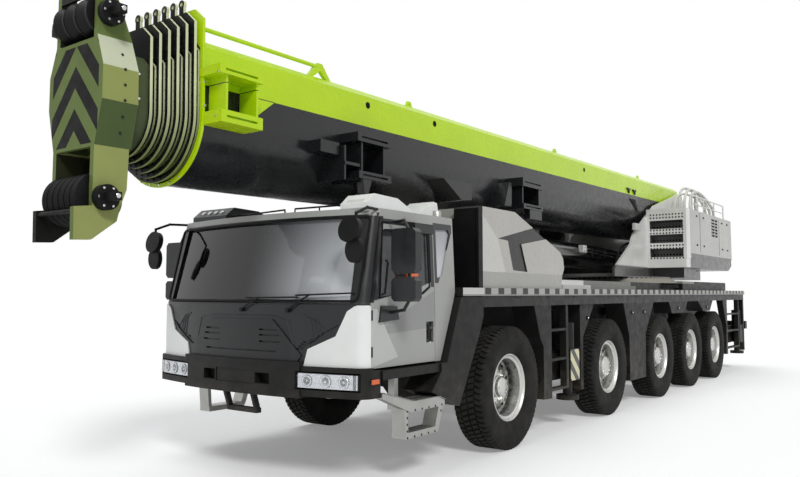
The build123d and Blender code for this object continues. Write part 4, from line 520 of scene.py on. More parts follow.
def deck_look():
    """Dark deck with bright squares along its edge strip, pale boxes and a grey slewing cone."""
    look = Look("deck_dark", CHARCOAL, 0.5, 0.0, 0.0, 0.25)
    x, y, z = look.axes()
    side = abs(x)
    turn = ((y - behind(-0.575)) / 0.29).math("FRACT")
    squares = look.mix(turn.below(0.45, 0.01), (176, 176, 170), (60, 60, 58))
    squares = look.mix(y < behind(-0.60), squares, (212, 212, 208))
    look.over((side > 1.4855) & (z > 1.712), squares)
    look.over((side > 1.4855) & z.within(1.712, 1.728), (150, 150, 146))
    look.over(z.within(1.7965, 1.7985) & look.noise(60.0, 1.0).ramp(0.45, 0.6), (92, 92, 90))
    boxes = look.mix(y < behind(2.91), (140, 140, 134), (225, 225, 222))
    look.over(side.within(1.1, 1.3) & (z > 1.80) & y.within(behind(1.9), behind(4.9)), boxes)
    look.over(z.within(1.93, 2.034) & (side < 1.3) & y.within(behind(5.7), behind(8.3)), (150, 148, 138))
    return look.finish(0.45, 0.1, 0.06, 0.0008, 2.2)


def hood_look():
    """Hood: white front frame, grey sides, dark lower band and louvres."""
    look = Look("hood_grey", (176, 176, 170), 0.34, 0.0, 0.3)
    x, y, z = look.axes()
    side = abs(x)
    look.over(y < behind(7.46), (228, 228, 224))
    look.over((side > 1.30) & (y > behind(7.50)) & (z < 2.52), (52, 52, 51))
    louvre = side.within(1.39, 1.4195) & z.within(2.93, 3.34) & y.within(behind(9.05), behind(9.56))
    look.over(louvre, (38, 38, 38))
    treads = y.within(behind(7.215), behind(7.50)) & side.within(0.71, 1.37) & z.within(2.43, 3.17)
    look.over(treads, (92, 92, 90))
    return look.finish(0.34, 0.0, 0.05)


def turntable_look():
    """White slewing platform with darker lower parts at its sides and a dark middle."""
    look = Look("upper_white", (226, 226, 221), 0.34, 0.0, 0.3)
    x, y, z = look.axes()
    side = abs(x)
    look.over(side.below(0.6, 0.004), (90, 90, 88))
    look.over(z.below(2.25, 0.02), look.mix(side < 0.66, (200, 200, 194), (80, 80, 78)))
    look.over((side > 0.66) & (z < 2.245) & (y > behind(7.5)), (52, 52, 52))
    return look.finish(0.34, 0.0, 0.05)


def tyre_look():
    """Rubber: dusty tread, darker sidewall with fine moulded rings."""
    look = Look("rubber", (20, 20, 20), 0.8, 0.0, 0.0, 0.2)
    x, y, z = look.axes()
    radius = (y * y + z * z).math("SQRT")
    look.over(radius.ramp(0.672, 0.684), (36, 36, 34))
    look.over(look.noise(7.0, 5.0).ramp(0.35, 0.7) * 0.15, (96, 92, 84))
    look.put("Base Color", look.base)
    look.gloss(14.0, 4.0, 0.68, 0.9)
    rings = (radius * 420.0).math("SINE") * ((abs(x) > 0.165) & (radius < 0.60))
    look.bump(rings * 0.5 + look.noise(160.0, 3.0), 0.0012, 0.5)
    return look


def rim_look():
    """Bright aluminium wheel with road film in its hollows."""
    look = Look("rim_alloy", (206, 206, 202), 0.32, 0.85)
    x, y, z = look.axes()
    hollow = x.below(0.03, 0.03) * (y * y + z * z).math("SQRT").within(0.19, 0.33, 0.02)
    film = hollow * look.noise(16.0, 5.0).ramp(0.25, 0.6, 0.35, 0.9)
    look.put("Base Color", look.mix(film, look.weathered(), (70, 68, 64)))
    look.gloss(30.0, 4.0, 0.24, 0.48)
    look.bump(look.noise(300.0, 2.0), 0.0004, 0.3)
    return look


def glass_look(name, dark, light, alpha):
    """Tinted pane that lets the inside show through, with a painted reflection that grows paler towards its
    left end and its foot.
    """
    look = Look(name, dark, 0.04, specular=0.6)
    x, _, z = look.axes()
    # Painted reflection: paler towards +X and lower down.
    look.over(x.ramp(-0.05, 1.40) * z.ramp(2.5, 1.75, 0.55, 1.0), light)
    look.put("Base Color", look.base)
    look.gloss(3.0, 3.0, 0.02, 0.07)
    look.put("Alpha", alpha)
    return look


def lamp_glass_look():
    """Clear lamp lens with fluted relief."""
    look = Look("lamp_lens", (236, 240, 242), 0.05)
    look.over(look.noise(40.0, 2.0).ramp(0.4, 0.6), (214, 220, 224))
    look.put("Base Color", look.base)
    look.gloss(22.0, 3.0, 0.03, 0.12)
    look.put("Alpha", 0.22)
    look.bump((look.axes()[0] * 500.0).math("SINE"), 0.001, 0.4)
    return look


def reflector_look():
    """Slanting reflective stripes across a small plate."""
    look = Look("reflective_stripes", (222, 216, 176), 0.35, 0.0, 0.2)
    _, y, z = look.axes()
    look.over(((z + y) / 0.24).math("FRACT").below(0.5, 0.01), (34, 33, 30))
    look.put("Base Color", look.weathered(0.1, 0.03))
    look.gloss(40.0, 3.0, 0.3, 0.45)
    look.bump(look.noise(500.0, 1.0), 0.0005, 0.3)
    return look


LOOKS = {
    "lime_and_dark": base_section_look(),
    "boom_dark": paint("boom_dark", BOOM_DARK, 0.4, 0.1, 0.0, 0.03),
    "sections": telescope_look(),
    "head": head_look(),
    "cab": cab_look(),
    "door": door_look(),
    "deck": deck_look(),
    "housing": housing_look(),
    "hood": hood_look(),
    "turntable": turntable_look(),
    "dark_paint": paint("chassis_dark", CHARCOAL, 0.5, 0.0, 0.22),
    "black_paint": paint("black_paint", (12, 12, 13), 0.5, 0.0, 0.15),
    "gloss_black": paint("cylinder_black", (18, 18, 19), 0.14, 0.6, 0.0, 0.02, 0.0002),
    "white": paint("plain_white", WHITE, 0.34, 0.3, 0.0),
    "alloy": paint("alloy", ALLOY, 0.38, 0.0, 0.1, 0.08, 0.0004, 0.9),
    "iron": paint("axle_iron", (38, 37, 36), 0.62, 0.0, 0.3, 0.1),
    "interior": paint("interior", (52, 52, 54), 0.7, 0.0, 0.0),
    "plastic": paint("black_plastic", (18, 18, 19), 0.5, 0.0, 0.0, 0.03, 0.001),
    "seal": paint("seal_rubber", (14, 14, 14), 0.65, 0.0, 0.0, 0.03),
    "hollow": paint("shadow_gap", (6, 6, 6), 0.9, 0.0, 0.0, 0.02),
    "tyre": tyre_look(),
    "rim": rim_look(),
    "glass": glass_look("cab_glass", (10, 11, 13), (222, 225, 230), 0.88),
    "side_glass": glass_look("side_glass", (34, 36, 38), (74, 76, 78), 0.72),
    "lens": lamp_glass_look(),
    "amber": paint("amber_lens", (226, 96, 22), 0.16, 0.3, 0.0, 0.03),
    "mirror": paint("mirror_glass", (232, 234, 238), 0.09, 0.0, 0.0, 0.02, 0.0, 1.0),
    "steel": paint("bright_steel", (200, 200, 200), 0.18, 0.0, 0.0, 0.03, 0.0002, 1.0),
    "reflector": reflector_look(),
    "nose": paint("nose_bars", (50, 51, 53), 0.4, 0.05, 0.0, 0.03),
    "hose_white": paint("hose_sleeve", (226, 226, 220), 0.6, 0.0, 0.0, 0.06, 0.002),
    "white_lens": paint("white_lens", (238, 238, 236), 0.12, 0.5, 0.0, 0.02),
}

# Look of the CAD nodes whose names begin so; the longest beginning counts.
NODE_LOOKS = {
    "chassis_frame": "dark_paint", "side_frames": "dark_paint", "bumpers": "dark_paint", "deck": "deck",
    "outrigger_beam": "dark_paint", "jack": "dark_paint", "axles": "iron", "knuckle": "iron", "wheel": "tyre",
    "cab_shell": "cab", "cab_glass": "glass", "cab_interior": "interior", "cab_steps": "alloy",
    "door": "door", "door_glass": "side_glass", "front_mirrors": "plastic",
    "engine": "iron", "engine_housing": "housing", "intake_tower": "black_paint",
    "turntable": "turntable", "tail_hoods": "hood", "winch": "iron",
    "operator_cab": "white", "operator_door": "white", "operator_glass": "side_glass",
    "boom_base": "lime_and_dark", "boom_section": "sections", "boom_head": "head", "sheaves": "black_paint",
    "cylinder_barrel": "gloss_black", "cylinder_rod": "steel",
}


def dress_frame():
    """Give every CAD node its look."""
    for name, node in NODES.items():
        beginning = max((start for start in NODE_LOOKS if name.startswith(start)), key=len)
        material = LOOKS[NODE_LOOKS[beginning]].material
        if not node.material_slots:
            node.data.materials.append(material)
        for slot in node.material_slots:
            slot.material = material


# ---------------------------------------------------------------- pieces

SHARP_ANGLE = math.radians(34.0)


def about_x(x, radius, turn):
    """Point at a distance from the X axis and a turn about it."""
    return (x, radius * math.cos(turn), radius * math.sin(turn))


def turns_of(count):
    """Even turns of one full circle."""
    return [math.tau * k / count for k in range(count)]


def neighbours(points):
    """Each point of a closed line with the ones before and after it."""
    return zip(points[-1:] + points[:-1], points, points[1:] + points[:1])


def turned_to(direction):
    """Turn that brings the X axis onto a direction."""
    return Vector((1, 0, 0)).rotation_difference(Vector(direction)).to_matrix().to_4x4()


class Piece:
    """Mesh made of simple forms, each with its own look, that rides on one body."""

    def __init__(self, name, body):
        self.name = name
        self.body = body
        self.mesh = bmesh.new()
        self.looks = []

    def take(self, faces, look):
        """Give new faces a look."""
        if look not in self.looks:
            self.looks.append(look)
        for face in faces:
            face.material_index = self.looks.index(look)
            face.smooth = True

    def hull(self, points, look, place=Matrix.Identity(4)):
        """Convex solid round some points."""
        corners = [self.mesh.verts.new(place @ Vector(point)) for point in points]
        made = bmesh.ops.convex_hull(self.mesh, input=corners)
        self.take([item for item in made["geom"] if isinstance(item, bmesh.types.BMFace)], look)

    def block(self, low, high, look, place=Matrix.Identity(4), edge=0.003):
        """Box between two corners with chamfered edges."""
        points = []
        for full in range(3):
            for corner in range(8):
                ends = [high[i] - edge if corner >> i & 1 else low[i] + edge for i in range(3)]
                ends[full] = high[full] if corner >> full & 1 else low[full]
                points.append(ends)
        self.hull(points, look, place)

    def sweep(self, rings, look, closed=False):
        """Skin over a row of rings, with its ends filled unless it closes on itself."""
        rows = [[self.mesh.verts.new(point) for point in ring] for ring in rings]
        count = len(rows[0])
        faces = []
        pairs = list(zip(rows, rows[1:]))
        if closed:
            pairs.append((rows[-1], rows[0]))
        for one, two in pairs:
            for i in range(count):
                j = (i + 1) % count
                faces.append(self.mesh.faces.new((one[i], one[j], two[j], two[i])))
        if not closed:
            faces.append(self.mesh.faces.new(rows[0][::-1]))
            faces.append(self.mesh.faces.new(rows[-1]))
        self.take(faces, look)

    def tube(self, points, radius, look, sides=10):
        """Round bar along a line of points."""
        points = [Vector(point) for point in points]
        rings = []
        across = None
        for i, point in enumerate(points):
            run = points[min(i + 1, len(points) - 1)] - points[max(i - 1, 0)]
            run.normalize()
            if across is None:
                across = run.orthogonal()
            across = (across - run * across.dot(run)).normalized()
            other = run.cross(across)
            rings.append([point + radius * (across * math.cos(turn) + other * math.sin(turn))
                          for turn in turns_of(sides)])
        self.sweep(rings, look)

    def lathe(self, outline, look, place=Matrix.Identity(4), segments=48, closed=False):
        """Solid turned about the X axis from (x, radius) points, hollow where its outline closes."""
        turns = turns_of(segments)
        rings = [[place @ Vector(about_x(x, radius, turn)) for turn in turns] for x, radius in outline]
        self.sweep(rings, look, closed)

    def studs(self, places, radius, height, look, direction=(1, 0, 0), sides=6):
        """Bolt heads that stand out of a surface along one direction."""
        turn = turned_to(direction)
        outline = [(-0.002, radius), (height * 0.7, radius), (height, radius * 0.8)]
        for place in places:
            self.lathe(outline, look, Matrix.Translation(place) @ turn, sides)

    def hole(self, place, facing, radius, root, height, sides):
        """Dark disc that looks like a hole in a surface."""
        outline = [(-root, radius), (height, radius)]
        self.lathe(outline, "hollow", Matrix.Translation(place) @ turned_to(facing), sides)

    def make(self, replaces=(), place=Matrix.Identity(4)):
        """Turn the forms into a Blender object that rides on its body."""
        bmesh.ops.recalc_face_normals(self.mesh, faces=self.mesh.faces)
        data = bpy.data.meshes.new(self.name)
        self.mesh.to_mesh(data)
        self.mesh.free()
        for look in self.looks:
            data.materials.append(LOOKS[look].material)
        data.set_sharp_from_angle(angle=SHARP_ANGLE)
        return stand(self.name, data, self.body, replaces, place)


def stand(name, data, body, replaces=(), place=Matrix.Identity(4)):
    """Object of a mesh, on its body, hiding the CAD nodes that it replaces."""
    thing = bpy.data.objects.new(name, data)
    thing.matrix_world = place
    bpy.context.scene.collection.objects.link(thing)
    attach(thing, body)
    if replaces:
        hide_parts(*replaces)
    return thing


# ---------------------------------------------------------------- wheels

AXLE_COUNT = 5
WHEEL_MIDDLE_Z = 0.685
TYRE_SIDE = [(0.140, 0.372), (0.165, 0.400), (0.182, 0.440), (0.189, 0.480), (0.192, 0.530), (0.190, 0.575),
             (0.184, 0.620), (0.178, 0.645), (0.170, 0.664), (0.150, 0.668)]
TREAD_PITCHES = 66
# Row of tread blocks: middle, width, slant and offset in pitches.
TREAD_ROWS = ((0.128, 0.066, 0.30, 0.5), (0.046, 0.074, -0.34, 0.0), (-0.046, 0.074, -0.34, 0.5),
              (-0.128, 0.066, 0.30, 0.0))
# Shoulder lug: (x, radius, half length) of its edges.
SHOULDER_LUG = ((0.150, 0.660, 0.022), (0.163, 0.681, 0.020), (0.176, 0.664, 0.019), (0.1875, 0.612, 0.013),
                (0.160, 0.612, 0.013))
TREAD_FOOT = 0.660
TREAD_TOP = 0.6842
TREAD_BLOCK = 0.046
NUT_RING = 0.1795


def tyre(piece):
    """Tyre body, its tread blocks and the lugs over its shoulders."""
    outline = TYRE_SIDE + [(-x, radius) for x, radius in reversed(TYRE_SIDE)]
    piece.lathe(outline + [(-0.120, 0.350), (0.120, 0.350)], "tyre", segments=96, closed=True)
    for row, width, slant, offset in TREAD_ROWS:
        for pitch in range(TREAD_PITCHES):
            middle = (pitch + offset) / TREAD_PITCHES * math.tau
            points = []
            for radius, shrink in ((TREAD_FOOT, 0.0), (TREAD_TOP, 0.003)):
                for end in (-1, 1):
                    for edge in (-1, 1):
                        x = row + edge * (width / 2 - shrink)
                        along = end * (TREAD_BLOCK / 2 - shrink) + slant * (x - row)
                        points.append(about_x(x, radius, middle + along / TREAD_TOP))
            piece.hull(points, "tyre")
    for side, offset in ((-1, 0.0), (1, 0.5)):
        for pitch in range(TREAD_PITCHES):
            middle = (pitch + offset) / TREAD_PITCHES * math.tau
            points = [about_x(side * x, radius, middle + end * half / TREAD_TOP)
                      for x, radius, half in SHOULDER_LUG for end in (-1, 1)]
            piece.hull(points, "tyre")


def ring_of(count, radius, x):
    """Points evenly round the axle."""
    return [about_x(x, radius, turn) for turn in turns_of(count)]


RIM_EDGE = [(0.150, 0.374), (0.154, 0.366), (0.146, 0.356)]
# Wheel of the first axle and of the others: disc and hub from rim to middle, face where the nuts sit, hub
# bolts, place of the valve, and the way the disc faces at its hand holes.
STEERED_WHEEL = {
    "disc": [(0.126, 0.348), (0.112, 0.322), (-0.030, 0.312), (-0.052, 0.285), (-0.040, 0.250),
             (-0.018, 0.236), (-0.018, 0.124)],
    "hub": [(-0.030, 0.124), (0.016, 0.120), (0.022, 0.112), (0.058, 0.108), (0.066, 0.100), (0.078, 0.080),
            (0.080, 0.0005)],
    "face": -0.018,
    "bolts": (8, 0.091, 0.068),
    "valve": 0.06,
    "slope": (0.90, -0.44, 0.0),
}
DRIVEN_WHEEL = {
    "disc": [(0.120, 0.346), (0.110, 0.320), (0.010, 0.308), (-0.012, 0.284), (0.002, 0.250), (0.020, 0.236),
             (0.022, 0.150)],
    "hub": [(0.010, 0.152), (0.062, 0.150), (0.070, 0.145), (0.104, 0.143), (0.112, 0.136), (0.121, 0.110),
            (0.126, 0.060), (0.126, 0.0005)],
    "face": 0.021,
    "bolts": (12, 0.124, 0.116),
    "valve": 0.10,
    "slope": (0.92, -0.39, 0.0),
}


def rim(piece, wheel):
    """Disc wheel with its nuts, hub, hand holes and valve."""
    face = wheel["face"]
    back = [(face - 0.03, 0.12), (-0.10, 0.12), (-0.10, 0.345), (0.10, 0.352)]
    piece.lathe(RIM_EDGE + wheel["disc"] + back, "rim", segments=72, closed=True)
    piece.lathe(wheel["hub"], "rim", segments=48)
    piece.studs(ring_of(10, NUT_RING, face), 0.0175, 0.030, "rim")
    piece.studs(ring_of(*wheel["bolts"]), 0.009, 0.008, "steel")
    hole = Matrix.Translation((face - 0.013, 0.2585, 0.0)) @ turned_to(wheel["slope"])
    for k in range(10):
        turn = Matrix.Rotation(math.tau * (k + 0.5) / 10, 4, "X")
        piece.lathe([(-0.004, 0.019), (0.0035, 0.019)], "hollow", turn @ hole, 16)
    piece.studs([(wheel["valve"], 0.0, -0.333)], 0.006, 0.030, "steel", sides=8)


def make_wheels():
    """Dressed wheels in place of the plain ones."""
    meshes = {}
    for axle in range(1, AXLE_COUNT + 1):
        kind = "steered" if axle == 1 else "driven"
        for sign, side in SIDES:
            name = f"wheel_{axle}_{side}"
            low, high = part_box(name)
            middle = Vector(((low[0] + high[0]) / 2, (low[1] + high[1]) / 2, WHEEL_MIDDLE_Z))
            place = Matrix.Translation(middle)
            if sign < 0:
                place = place @ Matrix.Rotation(math.pi, 4, "Z")
            if kind not in meshes:
                piece = Piece("dressed_" + name, name)
                tyre(piece)
                rim(piece, STEERED_WHEEL if axle == 1 else DRIVEN_WHEEL)
                meshes[kind] = piece.make((name,), place).data
            else:
                stand("dressed_" + name, meshes[kind], name, (name,), place)


# ---------------------------------------------------------------- places on the solids

TREES = {}


def touch(node, start, direction):
    """Where a ray meets a CAD node, and the direction that the surface faces there."""
    if node not in TREES:
        data = NODES[node].data
        TREES[node] = BVHTree.FromPolygons([v.co for v in data.vertices], [p.vertices for p in data.polygons])
    place, facing, _, _ = TREES[node].ray_cast(Vector(start), Vector(direction).normalized())
    return place, facing


def from_side(node, side, station, z):
    """Where a level ray from the left or the right meets a CAD node."""
    return touch(node, (side * OUTSIDE, behind(station), z), (-side, 0, 0))[0]


BOOM_FRAME = Matrix.Translation((0.0, behind(PIVOT_STATION), PIVOT_Z)) @ Matrix.Rotation(BOOM_TILT, 4, "X")


def on_boom(x, ahead, up):
    """Point of the boom from its distance ahead of the pivot and its height above the axis."""
    return BOOM_FRAME @ Vector((x, -ahead, up))


def side_bolt(piece, node, side, start, *form):
    """Bolt head where a level ray from a point at the left or the right meets a CAD node."""
    place, _ = touch(node, start, (-side, 0, 0))
    if place:
        piece.studs([place], *form, (side, 0, 0))


def sheet_over(piece, node, look, xs, zs, lift, depth):
    """Curved pad in front of a surface, over a grid of widths and heights."""
    outer = []
    for z in zs:
        places = [touch(node, (x, AHEAD_Y, z), (0, 1, 0))[0] for x in xs]
        outer.append([place - Vector((0, lift, 0)) for place in places])
    back = [[point + Vector((0, depth, 0)) for point in row] for row in outer]
    for rows in zip(outer, outer[1:], back, back[1:]):
        for i in range(len(xs) - 1):
            piece.hull([row[j] for row in rows for j in (i, i + 1)], look)


# ---------------------------------------------------------------- driver's cab

LAMP_X = (0.772, 1.360)
LAMP_Z = (0.902, 1.028)
LAMP_BOWLS = ((0.865, 0.050), (1.055, 0.054), (1.235, 0.050))


def make_headlamps():
    """Clear headlamps at the bumper's corners, with three reflectors behind each lens."""
    piece = Piece("headlamps", "chassis")
    for side in (1, -1):
        xs = [side * x for x in spread(*LAMP_X, 9)]
        sheet_over(piece, "bumpers", "mirror", xs, spread(*LAMP_Z, 2), 0.002, 0.004)
        sheet_over(piece, "bumpers", "lens", xs, spread(*LAMP_Z, 4), 0.016, 0.003)
        for x, radius in LAMP_BOWLS:
            place, facing = touch("bumpers", (side * x, AHEAD_Y, sum(LAMP_Z) / 2), (0, 1, 0))
            place = Matrix.Translation(place) @ turned_to(facing)
            bowl = [(0.010, radius), (0.013, radius - 0.004), (0.004, radius * 0.35),
                    (0.010, radius * 0.22), (0.011, 0.002)]
            piece.lathe(bowl, "mirror", place, 28)
            piece.lathe([(0.002, radius + 0.004), (0.010, radius + 0.002)], "seal", place, 28)
        piece.block((side * 1.458 - 0.008, behind(-2.470), 0.950),
                    (side * 1.458 + 0.008, behind(-2.372), 0.992), "amber")
    piece.make()


def make_wipers():
    """Two wipers parked along the windscreen's foot."""
    piece = Piece("wipers", "chassis")

    def ahead_of_glass(x, z, shaded_gap):
        return (x, nose_y(x, z) - shaded_gap, z)

    for pivot, elbow, blade in (
        ((0.05, 1.587), (0.283, 1.702), ((0.09, 1.698), (0.727, 1.705))),
        ((0.627, 1.585), (0.851, 1.722), ((0.70, 1.722), (1.290, 1.742))),
    ):
        piece.tube([ahead_of_glass(*pivot, -0.012), ahead_of_glass(*pivot, 0.034)], 0.021, "plastic", 14)
        middle = [(pivot[0] + elbow[0]) / 2, (pivot[1] + elbow[1]) / 2]
        arm = [ahead_of_glass(*pivot, 0.030), ahead_of_glass(*middle, 0.040), ahead_of_glass(*elbow, 0.028)]
        piece.tube(arm, 0.0085, "plastic", 8)
        xs = spread(blade[0][0], blade[1][0], 12)
        zs = spread(blade[0][1], blade[1][1], 12)
        piece.tube([ahead_of_glass(x, z, 0.024) for x, z in zip(xs, zs)], 0.006, "plastic", 8)
        piece.tube([ahead_of_glass(x, z - 0.004, 0.010) for x, z in zip(xs, zs)], 0.0045, "seal", 6)
    piece.make()


def make_windscreen_seal():
    """Rubber seal round the windscreen."""
    piece = Piece("windscreen_seal", "chassis")
    low, high, edge, bend = 1.668, 2.428, 1.325, 0.045
    turns = spread(0.0, math.pi / 2, 4)
    outline = []
    for x_sign, z_middle, start in ((1, high, 0), (-1, high, 1), (-1, low, 2), (1, low, 3)):
        z_sign = 1 if z_middle == high else -1
        corner = (x_sign * (edge - bend), z_middle - z_sign * bend)
        for turn in turns:
            angle = turn + start * math.pi / 2
            outline.append((corner[0] + bend * math.cos(angle), corner[1] + bend * math.sin(angle)))
    full = []
    for (x0, z0), (x1, z1) in zip(outline, outline[1:] + outline[:1]):
        steps = max(1, int(abs(x1 - x0) / 0.16))
        full += [(x0 + (x1 - x0) * k / steps, z0 + (z1 - z0) * k / steps) for k in range(steps)]
    on_nose = [Vector((x, nose_y(x, z), z)) for x, z in full]
    out = Vector((0, -1, 0.2)).normalized()
    rings = []
    for before, here, after in neighbours(on_nose):
        wide = (after - before).normalized().cross(out).normalized()
        middle = here + out * 0.006
        rings.append([middle + wide * 0.011 * a + out * 0.007 * b
                      for a, b in ((1, -1), (1, 0.4), (0, 1), (-1, 0.4), (-1, -1))])
    piece.sweep(rings, "seal", closed=True)
    piece.make()


def make_roof_fittings():
    """Rails, lamps and beacon on the cab's roof."""
    piece = Piece("roof_fittings", "chassis")
    for first, last in (((-0.594, -2.203), (0.228, -2.319)), ((0.371, -2.324), (0.985, -2.289))):
        ends = [Vector((x, behind(station), 2.562)) for x, station in (first, last)]
        drop = Vector((0, 0, 0.05))
        piece.tube([ends[0] - drop, *ends, ends[1] - drop], 0.009, "plastic", 8)
        middle = (ends[0] + ends[1]) / 2
        piece.tube([middle, middle - drop], 0.007, "plastic", 8)
    for k in range(4):
        place, facing = touch("cab_shell", (-1.03 + 0.10 * k, AHEAD_Y, 2.60), (0, 1, 0))
        if place:
            piece.studs([place], 0.026, 0.012, "white_lens", facing, 14)
    sheet_over(piece, "cab_shell", "white_lens", spread(1.04, 1.24, 3), (2.575, 2.60), 0.004, 0.006)
    beacon = Matrix.Translation((1.22, behind(-1.10), 2.50)) @ Matrix.Rotation(-math.pi / 2, 4, "Y")
    piece.lathe([(0.0, 0.062), (0.02, 0.062), (0.026, 0.052), (0.078, 0.048), (0.094, 0.038), (0.10, 0.001)],
                "alloy", beacon, 28)
    piece.make()


# Outline of the doors' windows in (station, height).
DOOR_WINDOW = ((-2.27, 1.70), (-2.215, 2.39), (-1.50, 2.39), (-1.50, 1.80), (-1.62, 1.74))


def make_door_fittings():
    """Handle, lock, grab rail and window seal of both doors."""
    for sign, side in SIDES:
        piece = Piece("door_fittings_" + side, "door_" + side)
        face = sign * 1.402
        piece.block((face - 0.012, behind(-1.545), 1.30), (face + 0.006, behind(-1.505), 1.44), "plastic",
                    edge=0.005)
        piece.studs([(face, behind(-1.50), 1.262)], 0.014, 0.006, "steel", (sign, 0, 0), 14)
        rail = [(sign * 1.39, behind(-2.245), 1.725), (sign * 1.418, behind(-2.235), 1.74),
                (sign * 1.414, behind(-2.19), 2.02), (sign * 1.385, behind(-2.185), 2.04)]
        piece.tube(rail, 0.010, "plastic", 8)
        rings = []
        for before, here, after in neighbours([Vector((0, *corner)) for corner in DOOR_WINDOW]):
            inward = ((before - here).normalized() + (after - here).normalized()).normalized()
            place = from_side("door_" + side, sign, here.y, here.z)
            middle = Vector((place.x if place else sign * 1.385, behind(here.y), here.z))
            rings.append([middle + inward * a + Vector((sign * b, 0, 0)) for a, b in (
                (-0.013, -0.004), (-0.013, 0.004), (0.0, 0.008), (0.013, 0.004), (0.013, -0.004))])
        piece.sweep(rings, "seal", closed=True)
        piece.make()


# ---------------------------------------------------------------- boom

def collar_of(node):
    """Front of a section's collar: distance ahead, half width, lowest and highest point."""
    turn = BOOM_FRAME.inverted()
    places = [turn @ vertex.co for vertex in NODES[node].data.vertices]
    front = max(-place.y for place in places)
    collar = [place for place in places if -place.y > front - 0.02]
    heights = [place.z for place in collar]
    return front, max(abs(place.x) for place in collar), min(heights), max(heights)


COLLARED = ["boom_base"] + [f"boom_section_{k}" for k in range(2, 8)]
BOLT_PITCH = 0.085


def make_collar_bolts():
    """Bolts round each collar's front face and on its flanks."""
    ahead_way = on_boom(0, 1, 0) - on_boom(0, 0, 0)
    for node in COLLARED:
        front, half, low, high = collar_of(node)
        piece = Piece("bolts_" + node, node)
        inner = half - 0.022
        bend = low + half
        places = [(x, bend + k * BOLT_PITCH) for k in range(int((high - bend) / BOLT_PITCH))
                  for x in (inner, -inner)]
        places += [(inner * math.cos(turn), bend - inner * math.sin(turn))
                   for turn in (math.pi * k / 18 for k in range(1, 18))]
        for x, up in places:
            place, _ = touch(node, on_boom(x, front + 0.5, up), -ahead_way)
            if place and (place - on_boom(x, front, up)).length < 0.05:
                piece.studs([place], 0.0095, 0.008, "steel" if node == "boom_base" else "plastic", ahead_way)
        for side in (-1, 1):
            for up in (0.10, 0.30):
                start = on_boom(side * OUTSIDE, front - 0.03, up)
                side_bolt(piece, node, side, start, 0.014, 0.010, "steel")
        piece.make()


def make_boom_marks():
    """Round holes, lugs, wedge plates and seam bolts along the base section's flanks."""
    piece = Piece("boom_fittings", "boom_base")
    for side in (-1, 1):
        for station, z in ((-1.42, 3.749), (-0.138, 3.784), (4.40, 3.827)):
            place = from_side("boom_base", side, station, z)
            piece.lathe([(-0.004, 0.036), (0.002, 0.036), (0.003, 0.030), (0.003, 0.001)], "hollow",
                        Matrix.Translation(place) @ turned_to((side, 0, 0)), 20)
        for station in (6.50, 6.82):
            place = from_side("boom_base", side, station, 3.72)
            faces = sorted((place.x - 0.004 * side, place.x + 0.030 * side))
            piece.block((faces[0], place.y - 0.085, 3.728), (faces[1], place.y + 0.085, 3.752), "boom_dark")
            lug = ((-0.05, 3.73), (0.05, 3.73), (0.02, 3.655))
            piece.hull([(x, place.y + y, z) for x in faces for y, z in lug], "boom_dark")
        wedge = [(x, behind(station), z) for x in (side * 0.546, side * 0.562)
                 for station, z in ((6.573, 3.560), (6.873, 3.566), (7.013, 3.368), (6.960, 3.350))]
        piece.hull(wedge, "seal")
        for ahead in spread(5.0, 11.5, 14):
            start = on_boom(side * OUTSIDE, ahead, 0.262)
            side_bolt(piece, "boom_base", side, start, 0.006, 0.004, "boom_dark")
    piece.make()


def make_head_fittings():
    """Bright bar ends and bolts on the head's pin bosses, and bolts on its plates."""
    piece = Piece("head_fittings", "boom_section_7")
    for side in (-1, 1):
        for up, ahead in ((0.734, HEAD_AHEAD + 0.212), (-0.717, HEAD_AHEAD + 0.237)):
            end = on_boom(side * 0.4955, ahead, up)
            piece.studs([end], 0.020, 0.010, "steel", (side, 0, 0), 12)
            for turn in turns_of(6):
                place = on_boom(side * 0.366, ahead + 0.078 * math.cos(turn), up + 0.078 * math.sin(turn))
                piece.studs([place], 0.011, 0.008, "steel", (side, 0, 0))
        for up in spread(0.42, -0.20, 6):
            place, facing = touch("boom_head", on_boom(side * OUTSIDE, HEAD_AHEAD + 0.12, up), (-side, 0, 0))
            if place:
                piece.studs([place], 0.012, 0.008, "boom_dark", facing)
    piece.make()


# ---------------------------------------------------------------- superstructure

STAIR_HOLE_Z = (3.275, 3.215, 3.155, 3.05, 2.97, 2.91, 2.78, 2.67, 2.61, 2.50, 2.42)


def make_stair_holes():
    """Anti-slip holes in the hoods' front steps and frames."""
    piece = Piece("stair_holes", "upper")
    for side in (1, -1):
        for z in STAIR_HOLE_Z:
            for x in spread(0.74, 1.35, 11):
                place, facing = touch("tail_hoods", (side * x, behind(6.0), z), (0, 1, 0))
                if place and facing.y < -0.7:
                    piece.hole(place, facing, 0.0165, 0.004, 0.0015, 12)
    piece.make()


def make_hood_details():
    """Seams and latches down the hoods' sides and a lamp box on each front edge."""
    piece = Piece("hood_details", "upper")
    for side in (1, -1):
        for station in (8.18, 8.76, 9.68):
            place = from_side("tail_hoods", side, station, 2.955)
            if place and abs(place.x) > 1.3:
                reach = Vector((0.002, 0.006, 0.395))
                piece.block(place - reach, place + reach, "white" if station == 8.76 else "seal", edge=0.0005)
        for station in (7.95, 8.45, 9.95, 10.4):
            for z in (2.70, 3.28):
                place = from_side("tail_hoods", side, station, z)
                if place and abs(place.x) > 1.3:
                    piece.block(place - Vector((0.004, 0.03, 0.018)), place + Vector((0.010, 0.03, 0.018)),
                                "plastic")
        piece.block((side * 0.66, behind(6.37), 2.93), (side * 0.74, behind(6.67), 3.06), "white", edge=0.01)
    piece.make()


SLEWING_STATION = 6.99
APRON_FLUTES = 72
APRON_DEPTH = 0.022


